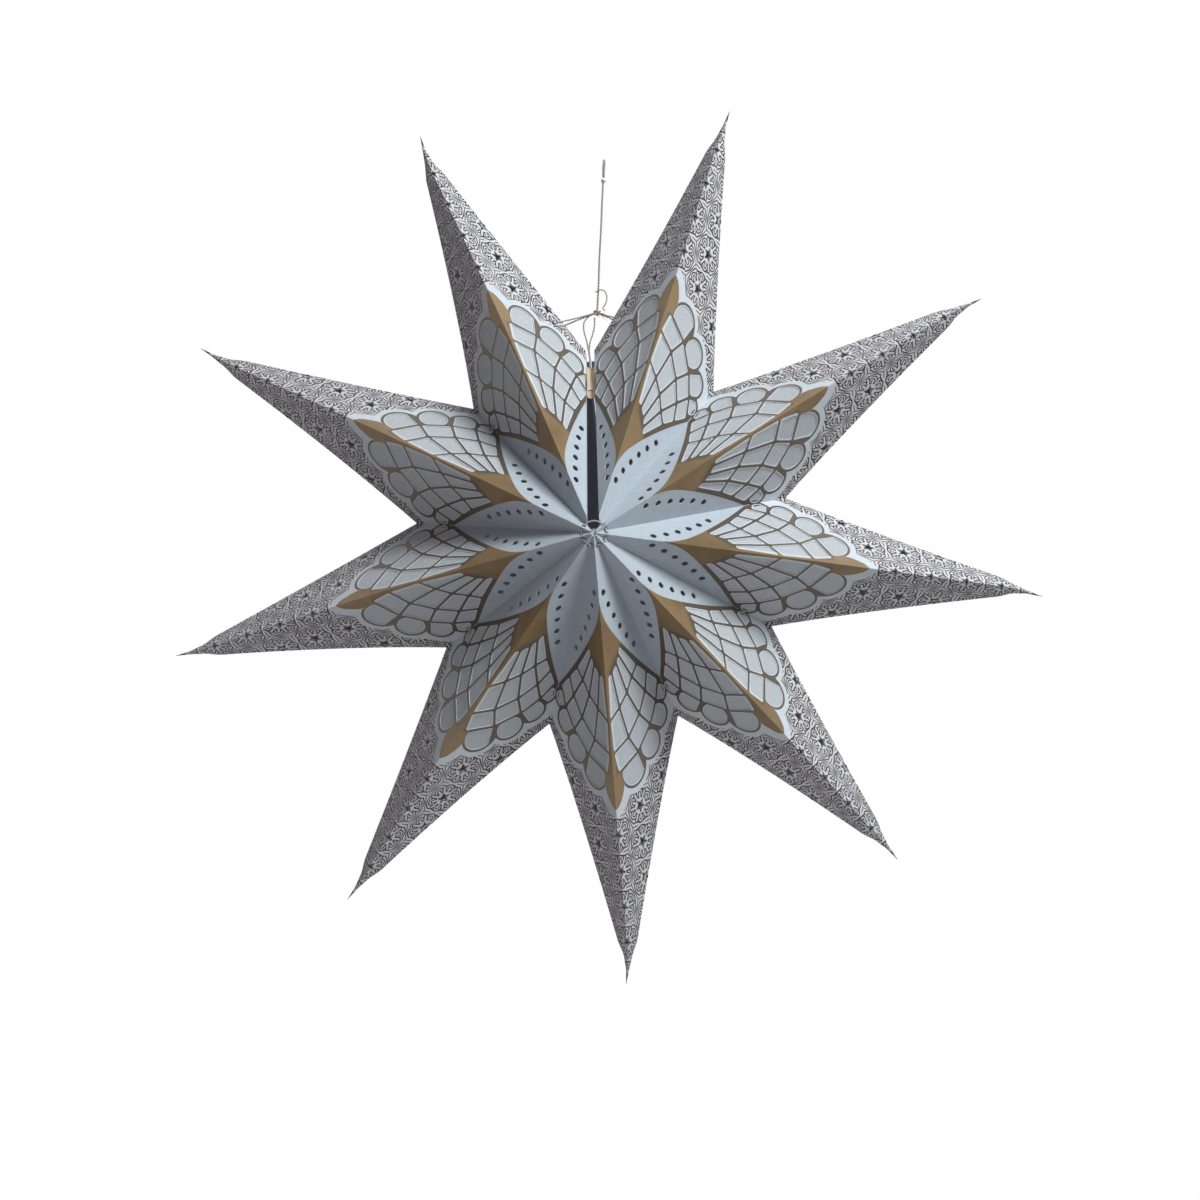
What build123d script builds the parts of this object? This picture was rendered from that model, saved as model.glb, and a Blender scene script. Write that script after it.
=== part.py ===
"""Hanging star lantern: nine folded card leaves round a centre line, hung on one string.

Frame: +Z up along the string, -Y to the front, origin where the hanging loop bears on its hook.
A leaf is built in its own frame, X across it, -Y to the front and Z out along it from the star's
centre, then turned to its place. A facet's flat coordinates are u, along the front ridge from the
front apex, and v, across the facet towards the notch. All sizes are in millimetres and degrees.
"""

from build123d import *
import math
import os

# Overall star
leaf_count = 9
tip_radius = 300.0
notch_radius = 127.0
half_depth = 100.0
hang_tilt = -6.3
star_side_offset = 10.8
hang_drop = 260.0

# Card, window paper and glue
card_thickness = 0.4
paper_thickness = 0.2
paper_gap = 0.05
flange_width = 9.0
centre_hole_radius = 2.0
paper_inset = 2.3
paper_apex_cut = 14.0
paper_notch_cut = 8.0
cut_overrun = 2.0

# Open seam between the last leaf and the first
seam_half_gap_centre = 4.0
seam_half_gap_notch = 2.8
seam_back_half_gap = 0.3
seam_back_open_from = 112.0

# Windows: junctions of the net, from the ridge to the petal and from the centre outwards,
# as shares of the ridge length and of the notch's distance from the ridge
net_u_shares = (
    (0.305, 0.402, 0.474, 0.522, 0.530),
    (0.299, 0.380, 0.453, 0.494, 0.514),
    (0.283, 0.356, 0.413, 0.447, 0.466),
    (0.266, 0.327, 0.370, 0.402, 0.411),
    (0.247, 0.304, 0.328, 0.356, 0.370),
)
net_v_shares = (
    (0.047, 0.028, 0.043, 0.095, 0.126),
    (0.091, 0.162, 0.258, 0.384, 0.471),
    (0.162, 0.282, 0.432, 0.582, 0.669),
    (0.195, 0.368, 0.543, 0.688, 0.771),
    (0.218, 0.452, 0.582, 0.739, 0.795),
)
lobe_crown_shares = ((0.566, 0.307), (0.511, 0.676), (0.455, 0.809), (0.400, 0.834))
window_inset = 1.6
window_corner = 2.2

# Punched holes
petal_dot_diameter = 4.2
petal_dot_count = 6
petal_dot_first = 38.6
petal_dot_pitch = 9.85
petal_dot_crown = 50.0
petal_dot_off_valley = 14.0
petal_dot_bow_radius = 130.0
star_hole_radius = 3.6
star_hole_inner_share = 0.42
star_hole_points = 5
star_pitch = 26.0
star_first = 207.4
star_row_counts = (4, 3, 1)
lacing_radius = 8.0
lacing_depth_share = 0.955
lacing_hole_diameter = 2.8
lacing_thread_diameter = 1.2
lacing_knot_radius = 1.1
tie_hole_diameter = 3.0
tie_hole_along = 148.2
tie_hole_aside = 30.7

# String, loop, knots and ties
string_diameter = 1.5
strand_diameter = 1.2
tail_diameter = 1.0
loop_radius = 5.5
loop_knot_radius = 1.7
main_knot_drop = 103.5
main_knot_radius = 2.4
knot_lean = 36.0
knot_lift_shares = (0.45, -0.45)
bend_share = 0.45
tie_start = 3.6
tie_stand_off = 1.9
tie_bend_radius = 1.3
seat_gap = 0.1

# Closing tab and its staple
tab_outer = 120.0
tab_inner = 97.0
tab_clearance = 0.15
staple_wire = 0.5
staple_place = 101.5

# Derived shape of one leaf
leaf_angle = 360.0 / leaf_count
half_leaf = math.radians(leaf_angle / 2)
notch_across = notch_radius * math.sin(half_leaf)
notch_along = notch_radius * math.cos(half_leaf)
root_half_width = tip_radius * notch_across / (tip_radius - notch_along)
tip = Vector(0, 0, tip_radius)
front_apex = Vector(0, -half_depth, 0)
left_notch = Vector(-notch_across, 0, notch_along)
ridge = tip - front_apex
ridge_length = ridge.length
valley = left_notch - front_apex
valley_angle = math.radians(ridge.get_angle(valley))
notch_u = valley.length * math.cos(valley_angle)
notch_v = valley.length * math.sin(valley_angle)
facet_normal = ridge.cross(valley).normalized()
if facet_normal.Y > 0:
    facet_normal = facet_normal * -1
facet_plane = Plane(origin=front_apex, x_dir=ridge, z_dir=facet_normal)
inward_share = facet_normal.Z
seam_taper = (seam_half_gap_notch - seam_half_gap_centre) / notch_radius
reach = tip_radius + half_depth
star_centre = Vector(star_side_offset, 0, -hang_drop)
main_knot = Vector(0, 0, -main_knot_drop)

os.makedirs("parts", exist_ok=True)


def write(shape, name):
    """Writes one node."""
    export_step(shape, f"parts/{name}.step")


def both_sides(shape):
    """A shape of the left half of a leaf, with its mirror image."""
    return [shape, mirror(shape, about=Plane.YZ)]


def all_facets(shape):
    """A shape of the front left facet, copied on to the leaf's four facets."""
    return [copy for half in both_sides(shape) for copy in (half, mirror(half, about=Plane.XZ))]


def azimuth(leaf):
    """Clockwise angle of a leaf from straight up, seen from the front."""
    return hang_tilt + leaf_angle * (leaf - 1 + 0.5)


def in_place(leaf):
    """Where a leaf stands in the star."""
    return Pos(*star_centre) * Rot(0, azimuth(leaf), 0)


def on_leaf(leaf, across, depth, along):
    """A point of a leaf's own frame, in the lantern's frame."""
    return (in_place(leaf) * Pos(across, depth, along)).position


def pyramid(inset):
    """The four outer facets as one solid, moved inwards by a distance square to them."""
    drop = inset / inward_share
    corners = [(root_half_width, 0), (0, half_depth), (-root_half_width, 0), (0, -half_depth)]
    base = Pos(0, 0, -drop) * Polyline(*corners, close=True)
    return Solid.make_loft([base.wire(), Vertex(0, 0, tip_radius - drop)], ruled=True)


def across_prism(points):
    """A prism through the whole depth, over points (across, along) of the leaf's frame."""
    outline = Plane.XZ * Polyline(*points, close=True)
    return extrude(make_face(outline), amount=reach, both=True)


def sector(inset):
    """The leaf's share of the star, with its sides moved inwards."""
    drop = inset / math.sin(half_leaf)
    side = reach * math.sin(half_leaf)
    along = reach * math.cos(half_leaf)
    return across_prism([(0, drop), (side, along + drop), (-side, along + drop)])


def off_left_side(along, gap):
    """A point (across, along) of the leaf's frame, some way along its left side and in from it."""
    across = gap * math.cos(half_leaf) - along * math.sin(half_leaf)
    return (across, along * math.cos(half_leaf) + gap * math.sin(half_leaf))


def seam_half_gap(radius):
    """Half the seam's width at a distance from the centre line."""
    return seam_half_gap_centre + seam_taper * min(radius, notch_radius)


def seam_strip(extra):
    """What the seam takes off a leaf's left side: open in front, drawn together behind, open at the notch."""
    outer = [off_left_side(along, -cut_overrun) for along in (0, reach)]
    open_edge = [off_left_side(along, seam_half_gap(along) + extra) for along in (reach, 0)]
    turn = seam_back_open_from
    closed_edge = [off_left_side(turn, seam_half_gap(turn) + extra)]
    closed_edge += [off_left_side(along, seam_back_half_gap + extra) for along in (turn, 0)]
    front, back = [make_face(Plane.XZ * Polyline(*outer, *edge, close=True))
                   for edge in (open_edge, [open_edge[0], *closed_edge])]
    return extrude(front, amount=reach, dir=(0, -1, 0)) + extrude(back, amount=reach, dir=(0, 1, 0))


def facet_prism(face, depth=cut_overrun):
    """A flat pattern of the facet as a cutter through the card."""
    return facet_plane * extrude(face, amount=depth, both=True)


def net_point(column, row):
    """A junction of the net, in flat coordinates."""
    return (net_u_shares[column][row] * ridge_length, net_v_shares[column][row] * notch_v)


def widest_bends(stops):
    """The largest radius that each inner point of a route leaves room for."""
    radii = []
    for before, at, after in zip(stops, stops[1:], stops[2:]):
        turn = math.radians((at - before).get_angle(after - at))
        shorter = min((at - before).length, (after - at).length)
        radii.append(bend_share * shorter / math.tan(turn / 2))
    return radii


def inset_corners(corners, inset):
    """The corners of a convex outline, listed anticlockwise, drawn in by a distance."""
    kept = [Vector(*corner) for corner in corners]
    for start, end in zip(corners, corners[1:] + corners[:1]):
        along = (Vector(*end) - Vector(*start)).normalized()
        inward = Vector(-along.Y, along.X)
        base = Vector(*start) + inward * inset
        depths = [inward.dot(point - base) for point in kept]
        clipped = []
        for index, point in enumerate(kept):
            follower = (index + 1) % len(kept)
            if depths[index] > 0:
                clipped.append(point)
            if depths[index] * depths[follower] < 0:
                share = depths[index] / (depths[index] - depths[follower])
                clipped.append(point + (kept[follower] - point) * share)
        kept = clipped
    return kept


def cell_window(corners):
    """The window of one cell of the net: the cell less the foil line and its margin."""
    corners = inset_corners(corners, window_inset)
    rounds = widest_bends(corners[-1:] + corners + corners[:1])
    rounds = [min(window_corner, widest) for widest in rounds]
    return make_face(FilletPolyline(*corners, radius=rounds, close=True))


def lobe_window(column):
    """The round window at the outer end of a column of cells."""
    u_share, v_share = lobe_crown_shares[column]
    crown = (u_share * ridge_length, v_share * notch_v)
    rim = ThreePointArc(net_point(column, -1), crown, net_point(column + 1, -1)).edge()
    low, high = Vector(*net_point(column, -2)), Vector(*net_point(column + 1, -2))
    outward = Vector(high.Y - low.Y, low.X - high.X) * 2
    field = inset_corners([low, low + outward, high + outward, high], window_inset)
    disc = Pos(*rim.arc_center) * Circle(rim.radius - window_inset)
    return disc & make_face(Polyline(*field, close=True))


def windows():
    """The windows of one facet: three rows of cells and a row of round lobes."""
    faces = []
    for column in range(len(net_u_shares) - 1):
        for row in range(len(net_u_shares[column]) - 2):
            corners = [net_point(column, row), net_point(column, row + 1),
                       net_point(column + 1, row + 1), net_point(column + 1, row)]
            faces.append(cell_window(corners))
        faces.append(lobe_window(column))
    return faces


def from_valley(along, off):
    """Flat coordinates of a point given along the valley and off it."""
    u = along * math.cos(valley_angle) + off * math.sin(valley_angle)
    v = along * math.sin(valley_angle) - off * math.cos(valley_angle)
    return u, v


def petal_dots():
    """The row of round holes inside the petal's edge."""
    faces = []
    for index in range(petal_dot_count):
        along = petal_dot_first + index * petal_dot_pitch
        bow = (along - petal_dot_crown) ** 2 / (2 * petal_dot_bow_radius)
        place = from_valley(along, petal_dot_off_valley - bow)
        faces.append(Pos(*place) * Circle(petal_dot_diameter / 2))
    return faces


def star_hole():
    """One punched star."""
    points = []
    for index in range(2 * star_hole_points):
        radius = star_hole_radius * (star_hole_inner_share if index % 2 else 1)
        turn = math.pi * index / star_hole_points
        points.append((radius * math.cos(turn), radius * math.sin(turn)))
    return make_face(Polyline(*points, close=True))


def star_holes():
    """The punched stars of one facet, in rows parallel to the ridge."""
    faces = []
    for row, count in enumerate(star_row_counts):
        for index in range(count):
            u = star_first + star_pitch * (index - row / 2)
            faces.append(Pos(u, row * star_pitch) * star_hole())
    return faces


def lacing_angle():
    """Angle off the ridge at which the lacing ring meets a facet."""
    left = 1 - lacing_depth_share
    across = lacing_radius / root_half_width
    along = lacing_radius / tip_radius
    return math.asin(left / math.hypot(across, along)) - math.atan2(along, across)


def lacing_hole():
    """The cutter for the lacing hole of the front left facet."""
    turn = lacing_angle()
    place = Vector(-lacing_radius * math.sin(turn), -lacing_depth_share * half_depth,
                   lacing_radius * math.cos(turn))
    hole = Plane(origin=place, z_dir=facet_normal) * Circle(lacing_hole_diameter / 2)
    return extrude(hole, amount=cut_overrun, both=True)


def tie_hole():
    """The hole that a tie passes through, near the seam on the leaf's left side."""
    centre = Plane.XZ * Pos(-tie_hole_aside, tie_hole_along) * Circle(tie_hole_diameter / 2)
    return extrude(centre, amount=half_depth / 2, both=True)


def card(seam):
    """One folded leaf of card with its flanges, windows and holes, its seam on the left if any."""
    outer = sector(0)
    inner = sector(card_thickness)
    if seam:
        outer = outer - seam_strip(0)
        inner = inner - seam_strip(card_thickness)
    shell = (pyramid(0) & outer) - (pyramid(card_thickness) & inner)
    shell = shell - pyramid(flange_width * inward_share / math.tan(half_leaf))
    cutters = [Rot(90, 0, 0) * Cylinder(centre_hole_radius, 2 * reach)]
    for face in windows() + petal_dots() + star_holes():
        cutters += all_facets(facet_prism(face))
    cutters += all_facets(lacing_hole())
    if seam:
        cutters.append(tie_hole())
    return shell - cutters


def paper_outline():
    """One panel's outline in flat coordinates: the facet drawn in, with its two sharp corners cut."""
    full = make_face(Polyline((0, 0), (ridge_length, 0), (notch_u, notch_v), close=True))
    inner = offset(full, amount=-paper_inset, kind=Kind.INTERSECTION)
    keep = Pos(paper_apex_cut, 0) * Rectangle(reach, 2 * reach, align=(Align.MIN, Align.CENTER))
    outward = (Vector(notch_u, notch_v) - Vector(ridge_length / 2, 0)).normalized()
    cut_line = Plane(origin=Vector(notch_u, notch_v) - outward * paper_notch_cut, x_dir=outward)
    corner = cut_line * Rectangle(reach, 2 * reach, align=(Align.MIN, Align.CENTER))
    return (inner & keep) - corner


def paper_panel(seam, face):
    """The window paper of a left facet, just behind the card; the front one is punched with it."""
    back = card_thickness + paper_gap + paper_thickness
    panel = extrude(facet_plane.offset(-back) * paper_outline(), amount=paper_thickness, dir=facet_normal)
    cutters = []
    if face == "front":
        cutters += [facet_prism(hole) for hole in petal_dots() + star_holes()]
    else:
        panel = mirror(panel, about=Plane.XZ)
    if seam:
        cutters += [seam_strip(card_thickness + paper_gap), tie_hole()]
    return panel - cutters


def tube(points, diameter, bend=reach):
    """A round strand through the points, each bend as large as its two runs and the limit allow."""
    stops = [Vector(*point) for point in points]
    radii = [min(bend, widest) for widest in widest_bends(stops)]
    path = FilletPolyline(*stops, radius=radii) if radii else Line(*stops)
    section = Plane(origin=path @ 0, z_dir=path % 0) * Circle(diameter / 2)
    strand = sweep(section, path=path)
    share = strand.volume / (section.area * path.length)
    print("strand of", diameter, "bends", [round(r, 2) for r in radii], "volume share", round(share, 3))
    return strand


def knot(centre, radius, thread):
    """A small tight knot: a round core inside two crossed turns of thread."""
    turn = Torus(radius - thread / 2, thread / 2)
    turns = [Pos(0, 0, lift * thread) * Rot(0, lift * knot_lean, 0) * turn for lift in knot_lift_shares]
    return Pos(*centre) * (Sphere(radius - thread / 2) + turns)


# Card leaves and their window paper
plain_card = card(False)
seam_card = card(True)
faces = ("front", "back")
papers = {(seam, face): paper_panel(seam, face) for seam in (False, True) for face in faces}
for leaf in range(1, leaf_count + 1):
    place = in_place(leaf)
    if leaf == 1:
        write(place * seam_card, f"leaf_{leaf}")
    elif leaf == leaf_count:
        write(place * mirror(seam_card, about=Plane.YZ), f"leaf_{leaf}")
    else:
        write(place * plain_card, f"leaf_{leaf}")
    for face in faces:
        left = papers[leaf == 1, face]
        right = mirror(papers[leaf == leaf_count, face], about=Plane.YZ)
        write(place * left, f"window_paper_{leaf}_{face}_left")
        write(place * right, f"window_paper_{leaf}_{face}_right")

# Lacing threads
lacing_ring = Rot(90, 0, 0) * Torus(lacing_radius, lacing_thread_diameter / 2)
lacing_knot = Pos(0, 0, -lacing_radius) * Sphere(lacing_knot_radius)
lacing = Rot(0, hang_tilt - leaf_angle / 2, 0) * (lacing_ring + lacing_knot)
for side, name in ((-1, "front_lacing"), (1, "back_lacing")):
    write(Pos(*star_centre) * Pos(0, side * lacing_depth_share * half_depth, 0) * lacing, name)

# Hanging loop, its knot, the string and the main knot
loop_centre = Vector(0, 0, string_diameter / 2 - loop_radius)
loop = Pos(*loop_centre) * Rot(0, 90, 0) * Torus(loop_radius, string_diameter / 2)
loop_knot_centre = loop_centre - Vector(0, 0, loop_radius + string_diameter / 2 + loop_knot_radius)
loop_knot = Pos(*loop_knot_centre) * Sphere(loop_knot_radius)
main_knot_body = knot(main_knot, main_knot_radius, string_diameter)
string_top = loop_knot_centre.Z - loop_knot_radius
string_foot = main_knot_body.bounding_box().max.Z + seat_gap
write(loop, "hang_loop")
write(loop_knot, "loop_knot")
write(tube([(0, 0, string_top), (0, 0, string_foot)], string_diameter), "hanging_string")
write(main_knot_body, "main_knot")


def tie(leaf, side):
    """A strand from the main knot, through a leaf's tie hole and back to the knot."""
    depth = half_depth * (1 - tie_hole_along / tip_radius - tie_hole_aside / root_half_width)
    face = depth + tie_stand_off
    hole = [on_leaf(leaf, side * tie_hole_aside, y, tie_hole_along) for y in (-face, face)]
    start = main_knot + (hole[0] + hole[1] - main_knot * 2).normalized() * tie_start
    ends = [start + Vector(0, y, 0) for y in (-strand_diameter, strand_diameter)]
    return tube([ends[0], hole[0], hole[1], ends[1]], strand_diameter, tie_bend_radius)


write(tie(leaf_count, 1), "left_tie")
write(tie(1, -1), "right_tie")

# Strands from the knot down into the seam, and the loose end of the string
seam_left_route = [
    (-3.6, 0.0, -104.6),
    (-8.6, -0.3, -108.6),
    (-8.8, -0.7, -115.6),
    (-6.2, -0.9, -122.6),
    (-4.6, -0.9, -129.6),
    (-3.2, -0.9, -136.6),
]
seam_right_route = [
    (-1.6, 1.2, -106.8),
    (-1.2, 1.3, -111.6),
    (-2.3, 1.1, -118.4),
    (-4.2, 0.9, -124.4),
    (-4.3, 0.9, -130.4),
    (-3.1, 0.9, -136.6),
]
tail_route = [
    (-1.6, -1.5, -89.9),
    (1.2, -1.8, -87.7),
    (4.9, -1.3, -88.6),
    (6.5, -0.6, -92.9),
    (5.7, -0.3, -97.8),
    (3.4, -0.2, -100.4),
]
strands = Compound(children=[tube(route, strand_diameter) for route in (seam_left_route, seam_right_route)])
write(strands, "seam_strands")
write(tube(tail_route, tail_diameter), "string_tail")

# Closing tab: a channel of card in the seam, along its front valley line
seam_frame = Pos(*star_centre) * Rot(0, hang_tilt, 0)


def on_valley(radius):
    """A point of the seam's front valley line, at a distance from the centre line."""
    return Vector(0, -half_depth * (1 - radius / notch_radius), radius)


tab_top = on_valley(tab_outer)
tab_foot = on_valley(tab_inner)
tab_radius = seam_half_gap(tab_outer) - tab_clearance
tab_plane = Plane(origin=tab_foot, x_dir=(1, 0, 0), z_dir=tab_top - tab_foot)
tab_ring = Circle(tab_radius) - Circle(tab_radius - card_thickness)
tab_half = tab_ring & Rectangle(4 * tab_radius, 2 * tab_radius, align=(Align.CENTER, Align.MIN))
tab_length = (tab_top - tab_foot).length
tab = extrude(tab_plane * tab_half, amount=tab_length, dir=tab_plane.z_dir)
write(seam_frame * tab, "seam_tab")

# Staple across the mouth of the tab
staple_along = (on_valley(staple_place) - tab_foot).length
staple_plane = tab_plane.offset(staple_along)
inside = tab_radius - card_thickness - seat_gap
staple_bar = Box(2 * inside - staple_wire, staple_wire, staple_wire)
staple = staple_plane * Pos(0, staple_wire / 2, 0) * staple_bar
write(seam_frame * staple, "seam_staple")
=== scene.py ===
"""Hanging star lantern: nine folded leaves of printed, die-cut card round a centre line, on one string.

A leaf is built in its own frame, X across it, -Y to the front and Z out along it from the star's centre, then
turned to its place. Flat coordinates are u, along a facet's ridge from the apex, and v, across it to the notch.
"""

import logging
import math
import random
from dataclasses import dataclass, field
from enum import Enum
from typing import Iterable, Sequence

import bmesh
import bpy
from mathutils import Matrix, Vector, noise


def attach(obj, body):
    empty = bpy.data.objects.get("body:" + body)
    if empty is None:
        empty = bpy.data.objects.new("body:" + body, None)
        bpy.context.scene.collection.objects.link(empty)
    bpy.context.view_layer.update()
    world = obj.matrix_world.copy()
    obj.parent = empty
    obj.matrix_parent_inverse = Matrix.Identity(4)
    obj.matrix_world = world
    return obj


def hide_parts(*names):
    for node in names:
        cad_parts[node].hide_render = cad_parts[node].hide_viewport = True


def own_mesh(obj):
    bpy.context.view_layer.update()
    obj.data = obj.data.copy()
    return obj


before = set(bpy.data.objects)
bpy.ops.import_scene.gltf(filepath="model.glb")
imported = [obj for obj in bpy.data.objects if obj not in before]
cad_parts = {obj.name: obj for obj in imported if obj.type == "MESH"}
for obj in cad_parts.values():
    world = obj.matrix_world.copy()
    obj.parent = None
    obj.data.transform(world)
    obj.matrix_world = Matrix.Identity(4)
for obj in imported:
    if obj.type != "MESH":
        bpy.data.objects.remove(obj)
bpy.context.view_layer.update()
LOG = logging.getLogger("star_lantern")
MM = 0.001

Flat = tuple[float, float]
Triple = tuple[float, float, float]
Colour = Triple
Socket = bpy.types.NodeSocket
Sheet = bmesh.types.BMesh


class Facet(Enum):
    """The four facets of a leaf, as (side across the leaf, face along Y)."""

    FRONT_LEFT = (-1, -1)
    FRONT_RIGHT = (1, -1)
    BACK_LEFT = (-1, 1)
    BACK_RIGHT = (1, 1)

    @property
    def side(self) -> int:
        """The side of the leaf that it is on."""
        return self.value[0]

    @property
    def face(self) -> int:
        """The way that it faces along Y."""
        return self.value[1]


class Skin(Enum):
    """Which layer of a leaf a mesh is: its lift off the card's outer face in mm, and its thickness in mm."""

    CARD = (0.0, 0.4)
    FOIL = (0.06, 0.0)
    PAPER = (-0.47, 0.16)

    @property
    def lift(self) -> float:
        """How far it lies off the card's outer face."""
        return self.value[0]

    @property
    def thickness(self) -> float:
        """How thick it is."""
        return self.value[1]


# ---- sizes of the star ----


@dataclass(frozen=True)
class StarForm:
    """The star's folded form, in millimetres and degrees, and where flat points lie on it."""

    leaf_count: int = 9
    tip_radius: float = 300.0
    notch_radius: float = 127.0
    half_depth: float = 100.0
    tilt: float = -6.3
    centre: Triple = (10.8, 0.0, -260.0)
    centre_hole: float = 2.0
    flange_width: float = 9.0
    flange_lean: float = 0.25
    seam_half_gap_centre: float = 4.0
    seam_half_gap_notch: float = 2.8
    seam_back_half_gap: float = 0.3
    seam_back_open_from: float = 124.5
    pinch: float = 0.09
    pinch_early: float = 0.6
    deepen: float = 0.04
    wave: float = 0.7
    wave_length: float = 70.0
    wave_steps: Flat = (17.0, 5.0)
    wave_margin: float = 22.0
    tip_reach: tuple[Flat, ...] = (
        (0.5, 7.0), (5.4, 4.4), (4.3, -3.1), (3.8, -10.1), (3.1, -3.1), (-3.5, -3.5), (-4.8, 1.6), (-1.4, 7.5),
        (-2.0, 7.0))
    tip_bend: float = 1.5
    folded_share: float = 0.0142
    tip_curl: tuple[float, ...] = (1.0, 2.5, 3.5, 1.0, 3.0, 1.0, 1.5, 2.0, 3.5)
    curl_from: float = 0.84
    curl_thin: float = 0.6

    @property
    def half_leaf(self) -> float:
        """Half of one leaf's angle, in radians."""
        return math.pi / self.leaf_count

    @property
    def root_half_width(self) -> float:
        """Half width of a leaf's section through the centre."""
        along = self.notch_radius * math.cos(self.half_leaf)
        return self.tip_radius * self.notch_radius * math.sin(self.half_leaf) / (self.tip_radius - along)

    @property
    def ridge_length(self) -> float:
        """Length of a ridge from apex to tip."""
        return math.hypot(self.tip_radius, self.half_depth)

    def azimuth(self, leaf: int) -> float:
        """Clockwise angle of a leaf from straight up, in radians."""
        return math.radians(self.tilt) + 2 * self.half_leaf * (leaf - 0.5)

    def in_place(self, leaf: int) -> Matrix:
        """Matrix from a leaf's frame, in millimetres, to the lantern's, in metres.

        Args:
            leaf: the leaf's number, clockwise from the one right of the seam.

        Returns:
            The matrix.
        """
        turn = Matrix.Rotation(self.azimuth(leaf), 4, "Y")
        return Matrix.Scale(MM, 4) @ Matrix.Translation(self.centre) @ turn

    def notch(self, side: int) -> Vector:
        """The notch on one side of a leaf."""
        return Vector((side * math.sin(self.half_leaf), 0, math.cos(self.half_leaf))) * self.notch_radius

    def axes(self, facet: Facet) -> tuple[Vector, Vector, Vector, Vector]:
        """Where a facet lies in the leaf's frame.

        Args:
            facet: which of the four facets.

        Returns:
            Its apex, and unit vectors along u, along v and outwards.
        """
        side, face = facet.value
        apex = Vector((0, face * self.half_depth, 0))
        along = (Vector((0, 0, self.tip_radius)) - apex).normalized()
        across = self.notch(side) - apex
        across = (across - along * across.dot(along)).normalized()
        outward = along.cross(across)
        if outward.y * face < 0:
            outward.negate()
        return apex, along, across, outward

    def flat_notch(self) -> Flat:
        """The notch in flat coordinates."""
        apex, along, across, _ = self.axes(Facet.FRONT_LEFT)
        reach = self.notch(-1) - apex
        return reach.dot(along), reach.dot(across)

    def flat_of(self, across_leaf: float, along_leaf: float) -> Flat:
        """Flat coordinates of the point of a facet that lies over a place of the leaf.

        Args:
            across_leaf: distance from the leaf's middle.
            along_leaf: distance out along the leaf.

        Returns:
            The point (u, v).
        """
        rise = 1 - along_leaf / self.tip_radius - across_leaf / self.root_half_width
        point = Vector((-across_leaf, -self.half_depth * rise, along_leaf))
        apex, along, across, _ = self.axes(Facet.FRONT_LEFT)
        return (point - apex).dot(along), (point - apex).dot(across)

    def edge_distance(self, u: float, v: float) -> float:
        """Distance of a flat point from the nearer of the valley and the outer edge."""
        notch_u, notch_v = self.flat_notch()
        valley = math.atan2(notch_v, notch_u)
        outer = math.atan2(notch_v, self.ridge_length - notch_u)
        from_valley = u * math.sin(valley) - v * math.cos(valley)
        from_outer = (self.ridge_length - u) * math.sin(outer) - v * math.cos(outer)
        return max(0.0, min(from_valley, from_outer))

    def lay(self, u: float, v: float, facet: Facet, leaf: int, lift: float) -> Vector:
        """Puts a flat point on its facet, with the card's own slight pinch and waves.

        Args:
            u: distance along the ridge.
            v: distance across the facet.
            facet: which facet it is on.
            leaf: which leaf, as each is a little different.
            lift: distance off the card's outer face.

        Returns:
            The point in the leaf's frame, in millimetres.
        """
        apex, along, across, outward = self.axes(facet)
        rise = outward
        on_ridge = v < 1e-4
        if on_ridge:
            rise = Vector((0, outward.y, outward.z))
            rise /= rise.length_squared
        point = apex + along * u + across * v + rise * lift
        notch_along = self.notch_radius * math.cos(self.half_leaf)
        out = min(1.0, max(0.0, (point.z - notch_along) / (self.tip_radius - notch_along)))
        leaf_step, face_step = self.wave_steps
        swing = Vector((point.x, point.z, leaf_step * leaf + face_step * facet.face)) / self.wave_length
        weight = min(1.0, self.edge_distance(u, v) / self.wave_margin)
        weight = weight * weight * (3 - 2 * weight)
        point.y += facet.face * self.wave * weight * noise.noise(swing)
        early = self.pinch_early
        point.x *= 1 - self.pinch * out * (1 + early - early * out)
        point.y *= 1 + self.deepen * out
        end = max(0.0, (out - self.curl_from) / (1 - self.curl_from))
        thin = 1 - self.curl_thin * end * (2 - end)
        aside, further = self.tip_reach[leaf - 1]
        curl = self.tip_curl[leaf - 1]
        point.x = point.x * thin + (aside - curl) * out ** self.tip_bend + curl * end * end
        point.y *= thin
        point.z += further * out
        return point


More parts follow.
